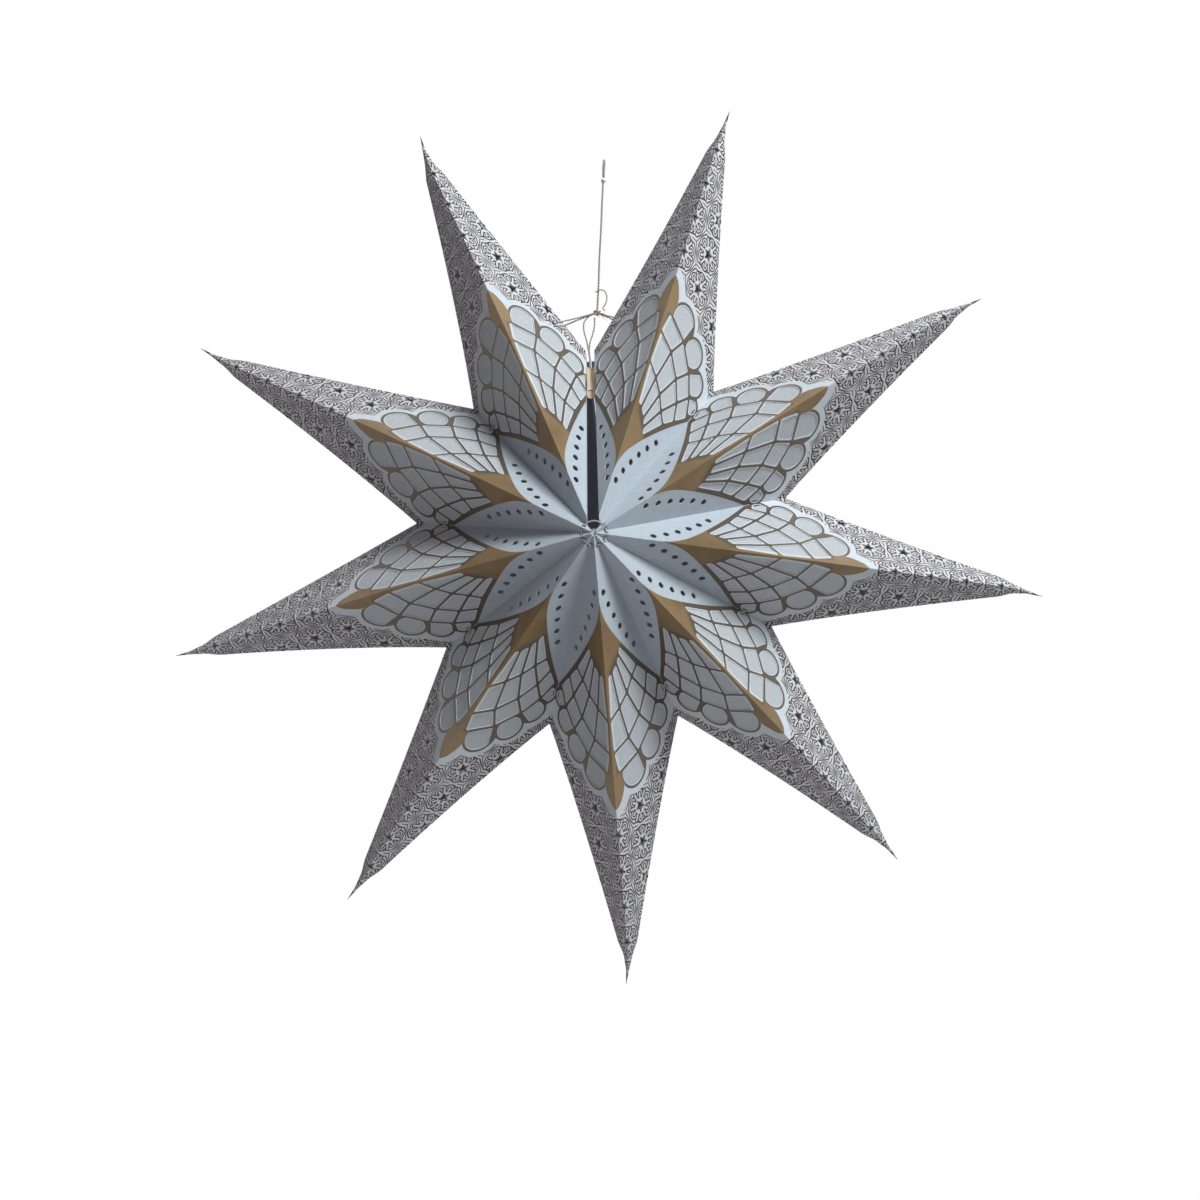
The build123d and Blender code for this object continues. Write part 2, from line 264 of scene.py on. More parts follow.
@dataclass(frozen=True)
class FacetPattern:
    """What is cut through one facet and printed on it, in flat millimetres."""

    form: StarForm
    net: tuple[tuple[Flat, ...], ...] = (
        ((0.305, 0.047), (0.402, 0.028), (0.474, 0.043), (0.522, 0.095), (0.530, 0.126)),
        ((0.299, 0.091), (0.380, 0.162), (0.453, 0.258), (0.494, 0.384), (0.514, 0.471)),
        ((0.283, 0.162), (0.356, 0.282), (0.413, 0.432), (0.447, 0.582), (0.466, 0.669)),
        ((0.266, 0.195), (0.327, 0.368), (0.370, 0.543), (0.402, 0.688), (0.411, 0.771)),
        ((0.247, 0.218), (0.304, 0.452), (0.328, 0.582), (0.356, 0.739), (0.370, 0.795)),
    )
    crowns: tuple[Flat, ...] = ((0.566, 0.307), (0.511, 0.676), (0.455, 0.809), (0.400, 0.834))
    window_inset: float = 1.6
    window_corner: float = 2.2
    foil_half_line: float = 0.9
    foil_corner: float = 1.6
    ridge_foil_less: float = 1.3
    dot_radius: float = 2.1
    dots: tuple[int, float, float] = (6, 38.6, 9.85)
    dot_bow: Triple = (50.0, 14.0, 260.0)
    star_radius: float = 3.6
    star_inner: float = 0.42
    star_pitch: float = 26.0
    star_first: float = 207.4
    star_rows: tuple[int, ...] = (4, 3, 1)
    star_clearance: float = 4.4
    paper_inset: float = 2.3
    paper_ridge_gap: float = 0.5
    paper_cuts: Flat = (14.0, 8.0)
    paper_corner: float = 1.5
    lacing_radius: float = 8.0
    lacing_depth: float = 0.955
    lacing_hole: float = 1.4
    tie_hole: Triple = (30.7, 148.2, 1.5)
    petal_edge: tuple[Flat, ...] = (
        (46.0, 0.0), (54.0, 1.9), (62.0, 5.8), (70.0, 11.6), (80.0, 20.4), (90.0, 30.2), (100.0, 40.9), (112.0, 55.0))
    foil_at_valley: Flat = (0.4, 0.3)
    spear_root: Flat = (160.0, 10.2)
    spear_head: tuple[Flat, ...] = (
        (171.0, 10.6), (175.0, 10.4), (179.0, 9.2), (183.0, 7.0), (186.5, 4.4), (189.0, 0.0))

    def junction(self, column: int, row: int) -> Vector:
        """A junction of the net."""
        return self.shared(self.net[column][row])

    def shared(self, shares: Flat) -> Vector:
        """A flat point from its shares of the ridge's length and of the facet's width."""
        return Vector((shares[0] * self.form.ridge_length, shares[1] * self.form.flat_notch()[1]))

    def lobe(self, column: int) -> tuple[Vector, float]:
        """Centre and radius of the round end of a column of cells."""
        crown = self.shared(self.crowns[column])
        return circle_through(self.junction(column, -1), crown, self.junction(column + 1, -1))

    def cell(self, column: int, row: int, inset: float, corner: float, nearer: float) -> list[Vector]:
        """One cell of the net drawn in by a distance, its corners rounded.

        Args:
            column: the cell's column, from the ridge outwards.
            row: its row, from the apex outwards.
            inset: how far it is drawn in.
            corner: the radius of its corners.
            nearer: how much nearer to the ridge the first column starts.

        Returns:
            The cell's outline.
        """
        shift = Vector((0, 0 if column else nearer))
        corners = [self.junction(column, row) - shift, self.junction(column, row + 1) - shift,
                   self.junction(column + 1, row + 1), self.junction(column + 1, row)]
        return rounded(drawn_in(corners, inset), corner)

    def foil_gaps(self) -> list[list[Vector]]:
        """The openings of the foil net, which leave a narrower band along the ridge than the card does."""
        return self.windows(self.foil_half_line, self.foil_corner, self.ridge_foil_less)

    def lobe_cell(self, column: int, inset: float) -> list[Vector]:
        """A column's last cell, which ends in a round lobe, drawn in by a distance."""
        low, high = self.junction(column, -2), self.junction(column + 1, -2)
        outward = Vector((high.y - low.y, low.x - high.x)) * 2
        field_corners = drawn_in([low, low + outward, high + outward, high], inset)
        centre, radius = self.lobe(column)
        return clipped(ring(centre, radius - inset, 40), field_corners)

    def windows(self, inset: float, corner: float, nearer: float = 0.0) -> list[list[Vector]]:
        """Every opening of the net: three rows of cells and the lobes, drawn in as a cell is."""
        found = []
        for column in range(len(self.net) - 1):
            for row in range(len(self.net[column]) - 2):
                found.append(self.cell(column, row, inset, corner, nearer))
            found.append(self.lobe_cell(column, inset))
        return found

    def petal_dots(self) -> list[list[Vector]]:
        """The row of round holes inside the petal's edge."""
        count, first, pitch = self.dots
        crown, off_crown, bow = self.dot_bow
        notch_u, notch_v = self.form.flat_notch()
        turn = math.atan2(notch_v, notch_u)
        holes = []
        for index in range(count):
            s = first + pitch * index
            w = off_crown - (s - crown) ** 2 / bow
            u = s * math.cos(turn) + w * math.sin(turn)
            v = s * math.sin(turn) - w * math.cos(turn)
            holes.append(ring(Vector((u, v)), self.dot_radius, 22))
        return holes

    def ridge_stars(self) -> list[Vector]:
        """The ridge from the tip to the apex's hole, with the halves of the stars punched across it."""
        points = [Vector((self.form.ridge_length, 0))]
        for index in reversed(range(self.star_rows[0])):
            middle = self.star_first + self.star_pitch * index
            points += [Vector((middle + x * radius, y * radius)) for x, y, radius in self.star_corners(6)]
        return points

    def star_corners(self, count: int) -> list[Triple]:
        """Directions and distances of a star's corners, anticlockwise from its point away from the apex."""
        angles = [math.pi * step / 5 for step in range(count)]
        return [(math.cos(angle), math.sin(angle), self.star_radius * (self.star_inner if step % 2 else 1.0))
                for step, angle in enumerate(angles)]

    def star_holes(self) -> list[list[Vector]]:
        """The punched five-pointed stars beside the ridge, in rows parallel to it."""
        holes = []
        for row, count in list(enumerate(self.star_rows))[1:]:
            for index in range(count):
                middle = Vector((self.star_first + self.star_pitch * (index - row / 2), row * self.star_pitch))
                holes.append([middle + Vector((x, y)) * radius for x, y, radius in self.star_corners(10)])
        return holes

    def lacing_holes(self) -> list[list[Vector]]:
        """The hole near the apex that the lacing thread goes through."""
        across = self.lacing_radius / self.form.root_half_width
        along = self.lacing_radius / self.form.tip_radius
        turn = math.asin((1 - self.lacing_depth) / math.hypot(across, along)) - math.atan2(along, across)
        place = self.form.flat_of(self.lacing_radius * math.sin(turn), self.lacing_radius * math.cos(turn))
        return [ring(Vector(place), self.lacing_hole, 14)]

    def tie_holes(self) -> list[list[Vector]]:
        """The hole near the seam that a tie goes through."""
        across, along, radius = self.tie_hole
        return [ring(Vector(self.form.flat_of(across, along)), radius, 18)]

    def facet_outline(self) -> list[Vector]:
        """The facet's own outline, with the round hole at the apex."""
        hole = []
        for step in range(7):
            angle = self.form.half_leaf * step / 6
            place = self.form.flat_of(self.form.centre_hole * math.sin(angle),
                                      self.form.centre_hole * math.cos(angle))
            hole.append(Vector(place))
        return self.ridge_stars() + hole + [Vector(self.form.flat_notch())]

    def paper_outline(self, notched: bool) -> list[Vector]:
        """One panel of window paper: the facet drawn in, its corners at the apex and the notch cut.

        Args:
            notched: whether its ridge edge keeps clear of the stars there; if not, it comes up to the ridge.

        Returns:
            The outline.
        """
        notch = Vector(self.form.flat_notch())
        full = [Vector((0, 0)), Vector((self.form.ridge_length, 0)), notch]
        corners = drawn_in(full, self.paper_inset)
        outward = (notch - Vector((self.form.ridge_length / 2, 0))).normalized()
        apex_cut, notch_cut = self.paper_cuts
        corners = half_plane(corners, Vector((apex_cut, 0)), Vector((1, 0)))
        corners = half_plane(corners, notch - outward * notch_cut, -outward)
        outline = rounded(corners, self.paper_corner)
        on_ridge = [abs(point.y - self.paper_inset) < 0.05 for point in outline]
        if not notched:
            return [Vector((point.x, self.paper_ridge_gap)) if near else point
                    for point, near in zip(outline, on_ridge)]
        points = []
        turn = math.asin(self.paper_inset / self.star_clearance)
        following = zip(outline, outline[1:] + outline[:1], on_ridge, on_ridge[1:] + on_ridge[:1])
        for start, end, start_near, end_near in following:
            points.append(start)
            if not (start_near and end_near) or abs(end.x - start.x) < self.star_pitch * self.star_rows[0]:
                continue
            way = 1 if end.x > start.x else -1
            for index in range(self.star_rows[0])[::way]:
                middle = self.star_first + self.star_pitch * index
                for step in range(9):
                    angle = turn + (math.pi - 2 * turn) * step / 8
                    points.append(Vector((middle - way * math.cos(angle) * self.star_clearance,
                                          math.sin(angle) * self.star_clearance)))
        return points

    def foil_outline(self) -> list[Vector]:
        """The foil's outer edge: petal edge, valley, round lobes, spear head and ridge."""
        points = smooth_through([Vector(p) for p in self.petal_edge], 4)
        notch_u, notch_v = self.form.flat_notch()
        slope = notch_v / notch_u
        last = self.junction(len(self.net) - 1, len(self.net[0]) - 1)
        past, short = self.foil_at_valley
        points.append(Vector((last.x + past, (last.x + past) * slope - short)))
        circles = [self.lobe(column) for column in range(len(self.crowns))]
        for column in reversed(range(len(self.crowns))):
            centre, radius = circles[column]
            outer = radius + self.foil_half_line
            start, end = self.junction(column + 1, -1) - centre, self.junction(column, -1) - centre
            first, last_angle = math.atan2(start.y, start.x), math.atan2(end.y, end.x)
            while last_angle > first:
                last_angle -= 2 * math.pi
            for step in range(25):
                angle = first + (last_angle - first) * step / 24
                point = centre + Vector((math.cos(angle), math.sin(angle))) * outer
                beside = [circle for n, circle in enumerate(circles) if abs(n - column) == 1]
                if all((point - c).length >= r + self.foil_half_line * 0.98 for c, r in beside):
                    points.append(point)
        root_u, root_v = self.spear_root
        points = [p for p in points if p.y > root_v or p.x < root_u]
        return points + smooth_through([Vector(p) for p in self.spear_head], 4)


# ---- flat geometry ----


def ring(centre: Vector, radius: float, count: int) -> list[Vector]:
    """Points round a circle."""
    return [centre + Vector((math.cos(a), math.sin(a))) * radius
            for a in (2 * math.pi * i / count for i in range(count))]


def hoop(radius: float, count: int) -> list[Vector]:
    """Points round a circle about the origin, clockwise from its top."""
    return [Vector((math.sin(a), math.cos(a))) * radius for a in (2 * math.pi * i / count for i in range(count))]


def circle_through(a: Vector, b: Vector, c: Vector) -> tuple[Vector, float]:
    """The circle through three flat points, as its centre and radius."""
    d = 2 * (a.x * (b.y - c.y) + b.x * (c.y - a.y) + c.x * (a.y - b.y))
    aa, bb, cc = a.length_squared, b.length_squared, c.length_squared
    x = (aa * (b.y - c.y) + bb * (c.y - a.y) + cc * (a.y - b.y)) / d
    y = (aa * (c.x - b.x) + bb * (a.x - c.x) + cc * (b.x - a.x)) / d
    centre = Vector((x, y))
    return centre, (a - centre).length


def half_plane(points: Sequence[Vector], base: Vector, inward: Vector) -> list[Vector]:
    """Cuts a convex outline along a line.

    Args:
        points: the outline's corners.
        base: a point of the line.
        inward: the direction of the side that stays.

    Returns:
        The corners that are left.
    """
    depths = [inward.dot(p - base) for p in points]
    kept = []
    for index, point in enumerate(points):
        after = (index + 1) % len(points)
        if depths[index] > 0:
            kept.append(point.copy())
        if depths[index] * depths[after] < 0:
            share = depths[index] / (depths[index] - depths[after])
            kept.append(point.lerp(points[after], share))
    return kept


def drawn_in(corners: Sequence[Vector], inset: float) -> list[Vector]:
    """A convex outline, listed anticlockwise, drawn in by a distance."""
    kept = [c.copy() for c in corners]
    for start, end in zip(corners, list(corners[1:]) + [corners[0]]):
        along = (end - start).normalized()
        inward = Vector((-along.y, along.x))
        kept = half_plane(kept, start + inward * inset, inward)
    return kept


def clipped(points: Sequence[Vector], cutter: Sequence[Vector]) -> list[Vector]:
    """The part of a convex outline inside another, both listed anticlockwise."""
    kept = list(points)
    for start, end in zip(cutter, list(cutter[1:]) + [cutter[0]]):
        along = (end - start).normalized()
        kept = half_plane(kept, start, Vector((-along.y, along.x)))
    return kept


def rounded(corners: Sequence[Vector], radius: float, steps: int = 3) -> list[Vector]:
    """An outline with each corner rounded as far as its sides allow."""
    points = []
    for before, at, after in zip([corners[-1]] + list(corners[:-1]), corners, list(corners[1:]) + [corners[0]]):
        back, on = before - at, after - at
        reach = min(radius, 0.4 * back.length, 0.4 * on.length)
        start, end = at + back.normalized() * reach, at + on.normalized() * reach
        for step in range(steps + 1):
            t = step / steps
            points.append(start * (1 - t) ** 2 + at * 2 * t * (1 - t) + end * t ** 2)
    return points


def smooth_through(points: Sequence[Vector], steps: int) -> list[Vector]:
    """A smooth line through points, as a denser list of points."""
    padded = [points[0] * 2 - points[1]] + list(points) + [points[-1] * 2 - points[-2]]
    line = []
    for a, b, c, d in zip(padded, padded[1:], padded[2:], padded[3:]):
        for step in range(steps):
            t = step / steps
            line.append(0.5 * (2 * b + (c - a) * t + (2 * a - 5 * b + 4 * c - d) * t ** 2
                               + (3 * b - a - 3 * c + d) * t ** 3))
    line.append(points[-1].copy())
    return line


# ---- meshes ----


def flat_sheet(outline: Sequence[Vector], holes: Iterable[Sequence[Vector]], step: float, name: str) -> bpy.types.Mesh:
    """Fills an outline less its holes and divides it by a grid, so that it can bend.

    Args:
        outline: the outer edge, in flat millimetres.
        holes: the edges of the openings.
        step: the grid's spacing.
        name: the mesh's name.

    Returns:
        A flat mesh whose UV map is (u, v) in metres.
    """
    bm = bmesh.new()
    for loop in [list(outline)] + [list(h) for h in holes]:
        verts = [bm.verts.new((p.x, p.y, 0)) for p in loop]
        for a, b in zip(verts, verts[1:] + verts[:1]):
            bm.edges.new((a, b))
    bmesh.ops.triangle_fill(bm, use_beauty=True, use_dissolve=False, edges=bm.edges[:], normal=(0, 0, 1))
    low_u, high_u = min(p.x for p in outline), max(p.x for p in outline)
    high_v = max(p.y for p in outline)
    for u in range(math.ceil(low_u / step), int(high_u / step) + 1):
        divide(bm, Vector((u * step, 0, 0)), Vector((1, 0, 0)))
    for v in range(1, int(high_v / step) + 1):
        divide(bm, Vector((0, v * step, 0)), Vector((0, 1, 0)))
    bmesh.ops.triangulate(bm, faces=[f for f in bm.faces if len(f.verts) > 4])
    layer = bm.loops.layers.uv.new("UVMap")
    bm.normal_update()
    for face in bm.faces:
        if face.normal.z < 0:
            face.normal_flip()
        for loop in face.loops:
            loop[layer].uv = (loop.vert.co.x * MM, loop.vert.co.y * MM)
    return finished(bm, name)


def divide(bm: Sheet, place: Vector, normal: Vector) -> None:
    """Divides everything in a bmesh along a plane."""
    bmesh.ops.bisect_plane(bm, geom=bm.verts[:] + bm.edges[:] + bm.faces[:], dist=1e-5, plane_co=place,
                           plane_no=normal)


def finished(bm: Sheet, name: str, finishes: Iterable[bpy.types.Material] = ()) -> bpy.types.Mesh:
    """A mesh with its materials, from a bmesh that is then freed."""
    mesh = bpy.data.meshes.new(name)
    bm.to_mesh(mesh)
    bm.free()
    for finish in finishes:
        mesh.materials.append(finish)
    return mesh


def placed(data: bpy.types.ID, name: str) -> bpy.types.Object:
    """Puts a mesh, lamp, camera or curve into the scene under a name."""
    made = bpy.data.objects.new(name, data)
    bpy.context.scene.collection.objects.link(made)
    return made


def evaluated(piece: bpy.types.Object) -> bpy.types.Mesh:
    """A new mesh of an object with its modifiers, or of a curve as a line."""
    graph = bpy.context.evaluated_depsgraph_get()
    return bpy.data.meshes.new_from_object(piece.evaluated_get(graph), depsgraph=graph)


def made_solid(piece: bpy.types.Object, crease_degrees: float) -> None:
    """Applies a piece's modifiers and keeps its creases sharp."""
    mesh = evaluated(piece)
    piece.modifiers.clear()
    old = piece.data
    piece.data = mesh
    bpy.data.meshes.remove(old)
    mesh.name = piece.name
    mesh.shade_smooth()
    mesh.set_sharp_from_angle(angle=math.radians(crease_degrees))


# ---- materials ----


class Nodes:
    """A node tree, with short ways to add the nodes used here."""

    def __init__(self, tree: bpy.types.NodeTree) -> None:
        """Takes the tree of a material or a world."""
        self.tree = tree

    def put(self, socket: Socket, value: object) -> None:
        """Links a socket, or sets a plain value."""
        if isinstance(value, Socket):
            self.tree.links.new(value, socket)
        elif isinstance(value, tuple) and len(value) == 3 and socket.type == "RGBA":
            socket.default_value = (*value, 1.0)
        else:
            socket.default_value = value

    def node(self, kind: str, output: int | str = 0, inputs: dict | None = None, **settings: object) -> Socket:
        """Adds a node and returns one of its outputs."""
        made = self.tree.nodes.new(kind)
        for key, value in settings.items():
            setattr(made, key, value)
        for key, value in (inputs or {}).items():
            self.put(made.inputs[key], value)
        return made.outputs[output]

    def maths(self, operation: str, *values: object) -> Socket:
        """A Math node."""
        return self.node("ShaderNodeMath", inputs=dict(enumerate(values)), operation=operation)

    def vector(self, operation: str, *values: object, output: int | str = 0) -> Socket:
        """A Vector Math node."""
        return self.node("ShaderNodeVectorMath", output, dict(enumerate(values)), operation=operation)

    def length(self, value: Socket) -> Socket:
        """A vector's length."""
        return self.vector("LENGTH", value, output="Value")

    def off_disc(self, place: Socket, disc: Triple) -> Socket:
        """Distance from the edge of a disc, given as its middle's coordinates and its radius."""
        x, y, radius = disc
        return self.maths("SUBTRACT", self.length(self.vector("SUBTRACT", place, (x, y, 0.0))), radius)

    def polar(self, radius: Socket, angle: Socket) -> tuple[Socket, Socket]:
        """Coordinates of a point at a distance and an angle."""
        return tuple(self.maths("MULTIPLY", radius, self.maths(way, angle)) for way in ("COSINE", "SINE"))

    def combined(self, operation: str, values: Sequence[Socket]) -> Socket:
        """Several values brought down to one by a Math operation, such as MINIMUM."""
        found = values[0]
        for value in values[1:]:
            found = self.maths(operation, found, value)
        return found

    def solid(self) -> Socket:
        """Coordinates in the object itself."""
        return self.node("ShaderNodeTexCoord", "Object")

    def flat(self) -> Socket:
        """The card's flat coordinates, in millimetres."""
        return self.scaled(self.node("ShaderNodeUVMap", uv_map="UVMap"), 1 / MM)

    def seen(self) -> Socket:
        """One on rays from the camera, off shiny things and through clear ones."""
        path = self.tree.nodes.new("ShaderNodeLightPath")
        rays = ("Is Camera Ray", "Is Transmission Ray", "Is Glossy Ray")
        return self.combined("MAXIMUM", [path.outputs[ray] for ray in rays])

    def axis(self, value: Socket, index: int) -> Socket:
        """One coordinate of a vector."""
        return self.node("ShaderNodeSeparateXYZ", index, {0: value})

    def pick(self, share: Socket, first: object, second: object) -> Socket:
        """Mixes two vectors."""
        return self.node("ShaderNodeMix", 1, {0: share, 4: first, 5: second}, data_type="VECTOR")

    def scaled(self, value: object, factor: float) -> Socket:
        """A vector times a number."""
        return self.node("ShaderNodeVectorMath", inputs={0: value, "Scale": factor}, operation="SCALE")

    def band(self, value: object, low: float, high: float, start: float = 0.0, end: float = 1.0) -> Socket:
        """A smooth step of a value from one number to another."""
        inputs = {"Value": value, "From Min": low, "From Max": high, "To Min": start, "To Max": end}
        return self.node("ShaderNodeMapRange", inputs=inputs, interpolation_type="SMOOTHSTEP")

    def line(self, distance: Socket, half_width: float, soft: float) -> Socket:
        """One where a distance is near zero, a drawn line."""
        return self.band(self.maths("ABSOLUTE", distance), half_width - soft, half_width + soft, 1.0, 0.0)

    def mix(self, share: object, first: object, second: object) -> Socket:
        """Mixes two colours."""
        return self.node("ShaderNodeMix", 2, {0: share, 6: first, 7: second}, data_type="RGBA")

    def noise(self, coordinates: Socket, scale: float, detail: float = 4.0, roughness: float = 0.55) -> Socket:
        """Noise between 0 and 1."""
        inputs = {"Vector": coordinates, "Scale": scale, "Detail": detail, "Roughness": roughness}
        return self.node("ShaderNodeTexNoise", "Fac", inputs)

    def bump(self, height: Socket, distance: float, strength: float, under: Socket | None = None) -> Socket:
        """A Bump node's normal, over another bump's where one is given."""
        inputs = {"Height": height, "Distance": distance, "Strength": strength}
        if under is not None:
            inputs["Normal"] = under
        return self.node("ShaderNodeBump", inputs=inputs)


class Graph(Nodes):
    """A material's node tree."""

    def __init__(self, name: str) -> None:
        """Starts a material with one Principled shader."""
        self.material = bpy.data.materials.new(name)
        self.material.use_nodes = True
        super().__init__(self.material.node_tree)
        self.shader = self.tree.nodes["Principled BSDF"]

    def finish(self, **inputs: object) -> bpy.types.Material:
        """Sets the shader's sockets, named with underscores for spaces, and returns the material."""
        for key, value in inputs.items():
            self.put(self.shader.inputs[key.replace("_", " ")], value)
        return self.material


@dataclass(frozen=True)
class CardPrint:
    """White card with a dark lattice print beyond the windows, drawn on the flat coordinates."""

    petal: Colour = (0.42, 0.465, 0.51)
    white: Colour = (0.56, 0.60, 0.63)
    speck: Colour = (0.20, 0.24, 0.28)
    petal_disc: Triple = (-26.3, 150.7, 168.4)
    ground: Colour = (0.57, 0.55, 0.555)
    ink: Colour = (0.018, 0.014, 0.024)
    half_line: float = 0.47
    soft: float = 0.14
    star: Flat = (5.4, 2.5)
    stem: tuple[float, ...] = (30.0, 5.6, 10.4, 1.25)
    leaf: tuple[float, ...] = (0.0, 6.6, 8.6, 1.3)
    hook: float = 1.9
    discs: tuple[Triple, ...] = (
        (167.0, 21.5, 12.5), (153.5, 40.0, 11.5), (139.0, 50.0, 9.5), (122.5, 54.0, 8.0),
        (118.0, 22.0, 45.0), (178.0, 0.0, 11.5), (0.0, 0.0, 123.5))
    margin: float = 4.6
    pitch: float = 26.0
    first: float = 207.4

    def build(self) -> bpy.types.Material:
        """Makes the material."""
        g = Graph("printed_card")
        uv, solid = g.flat(), g.solid()
        nearest = g.combined("MINIMUM", [g.off_disc(uv, disc) for disc in self.discs])
        printed = g.band(nearest, self.margin - 0.25, self.margin + 0.25)
        lines = self.lattice(g, uv)
        worn = g.noise(solid, 55.0, 3.0)
        ink = g.mix(g.band(worn, 0.45, 0.8, 0.0, 0.2), self.ink, self.ground)
        tile = g.mix(lines, self.ground, ink)
        mottle = g.noise(solid, 260.0, 5.0)
        white = g.mix(g.band(g.off_disc(uv, self.petal_disc), 0.6, 1.6), self.petal, self.white)
        white = g.mix(g.band(mottle, 0.3, 0.7, 0.0, 0.12), white, self.speck)
        colour = g.mix(printed, white, tile)
        rough = g.band(g.maths("MULTIPLY", printed, lines), 0.0, 1.0, 0.60, 0.45)
        fibre = g.noise(solid, 1800.0, 3.0)
        dents = g.bump(g.noise(solid, 26.0, 2.0, 0.4), 0.004, 0.35)
        return g.finish(Base_Color=colour, Roughness=rough, Specular_IOR_Level=0.2,
                        Normal=g.bump(fibre, 0.00012, 0.25, dents))

    def lattice(self, g: Graph, uv: Socket) -> Socket:
        """The dark lines of the print: six-sided cells, and stems and leaves round each punched star.

        Args:
            g: the material being built.
            uv: flat coordinates in millimetres.

        Returns:
            One on the dark lines, zero between them.
        """
        half = self.pitch / 2
        local = []
        for shift in (0.0, 1.0):
            moved = g.vector("SUBTRACT", uv, (self.first + shift * half, shift * self.pitch, 0.0))
            local.append(g.vector("WRAP", moved, (half, self.pitch, 1.0), (-half, -self.pitch, -1.0)))
        nearer = g.maths("LESS_THAN", g.length(local[0]), g.length(local[1]))
        place = g.pick(nearer, local[1], local[0])
        gaps = []
        for x, y in ((1.0, 0.0), (0.5, 1.0), (0.5, -1.0)):
            size = math.hypot(x, y)
            dot = g.vector("DOT_PRODUCT", place, (x / size, y / size, 0.0), output="Value")
            gaps.append(g.maths("SUBTRACT", size * half, g.maths("ABSOLUTE", dot)))
        edge = g.combined("MINIMUM", gaps)
        radius = g.length(place)
        angle = g.maths("ARCTAN2", g.axis(place, 1), g.axis(place, 0))
        stem, leaf = self.capsule(g, radius, angle, *self.stem), self.capsule(g, radius, angle, *self.leaf)
        corner = g.maths("SUBTRACT", 1.0, g.maths("COSINE", g.maths("MULTIPLY", angle, 6.0)))
        round_in = g.maths("SUBTRACT", edge, g.maths("MULTIPLY_ADD", corner, 0.75, 1.15))
        fork = g.maths("MULTIPLY", g.line(edge, self.half_line * 0.8, self.soft), g.band(radius, 13.3, 13.6))
        border = g.maths("MAXIMUM", g.line(round_in, self.half_line, self.soft), fork)
        hook = g.line(g.maths("SUBTRACT", leaf, self.hook), self.half_line, self.soft)
        hook = g.maths("MULTIPLY", hook, g.band(stem, -0.1, 0.1))
        inner = g.combined("MAXIMUM", [
            g.line(leaf, self.half_line, self.soft), g.line(stem, self.half_line, self.soft), hook])
        inner = g.maths("MULTIPLY", inner, g.band(round_in, -0.15, 0.05))
        inner = g.maths("MULTIPLY", inner, g.band(radius, 5.5, 5.8))
        return g.combined("MAXIMUM", [border, inner, self.star_shape(g, radius, angle)])

    def star_shape(self, g: Graph, radius: Socket, angle: Socket) -> Socket:
        """One on the dark star that is printed round a punched one.

        Args:
            g: the material being built.
            radius: distance from the star's middle.
            angle: angle round it.

        Returns:
            One inside the star.
        """
        outer, inner = self.star
        fifth = math.pi / 5
        folded = g.maths("ABSOLUTE", g.maths("WRAP", angle, fifth, -fifth))
        run = Vector((inner * math.cos(fifth) - outer, inner * math.sin(fifth))).normalized()
        along, aside = g.polar(radius, folded)
        past = g.maths("ADD", g.maths("MULTIPLY", g.maths("SUBTRACT", along, outer), run.y),
                       g.maths("MULTIPLY", aside, -run.x))
        return g.band(past, -0.1, 0.1, 1.0, 0.0)

    def capsule(self, g: Graph, radius: Socket, angle: Socket, turn: float, start: float,
                end: float, width: float) -> Socket:
        """Distance to the outline of six round-ended bars that stand round a star.

        Args:
            g: the material being built.
            radius: distance from the star's middle.
            angle: angle round it.
            turn: the first bar's angle, in degrees.
            start: where a bar starts, from the star's middle.
            end: where it ends.
            width: half its width.

        Returns:
            The distance, negative inside a bar.
        """
        sixth = math.pi / 6
        folded = g.maths("WRAP", g.maths("SUBTRACT", angle, math.radians(turn)), sixth, -sixth)
        along, aside = g.polar(radius, folded)
        past = g.maths("SUBTRACT", along, g.maths("MINIMUM", g.maths("MAXIMUM", along, start), end))
        away = g.maths("SQRT", g.maths("ADD", g.maths("MULTIPLY", past, past), g.maths("MULTIPLY", aside, aside)))
        return g.maths("SUBTRACT", away, width)


@dataclass(frozen=True)
class PlainCard:
    """The card's unprinted white inside and its cut edges, with a faint painted glow that stands in for light coming
    through the card.
    """

    white: Colour = (0.50, 0.54, 0.58)
    shade: Colour = (0.43, 0.46, 0.50)
    # glow: painted light, a faint emission that stands in for light coming through the card onto its inside, flanges
    # and cut edges
    glow: Colour = (0.026, 0.025, 0.034)

    def build(self) -> bpy.types.Material:
        """Makes the material."""
        g = Graph("plain_card")
        mottle = g.noise(g.solid(), 300.0, 5.0)
        colour = g.mix(g.band(mottle, 0.3, 0.7), self.white, self.shade)
        # The emission is painted light: this faint glow stands in for light that comes through the card.
        return g.finish(Base_Color=colour, Roughness=0.75, Emission_Color=self.glow, Emission_Strength=1.0,
                        Normal=g.bump(mottle, 0.0001, 0.3))


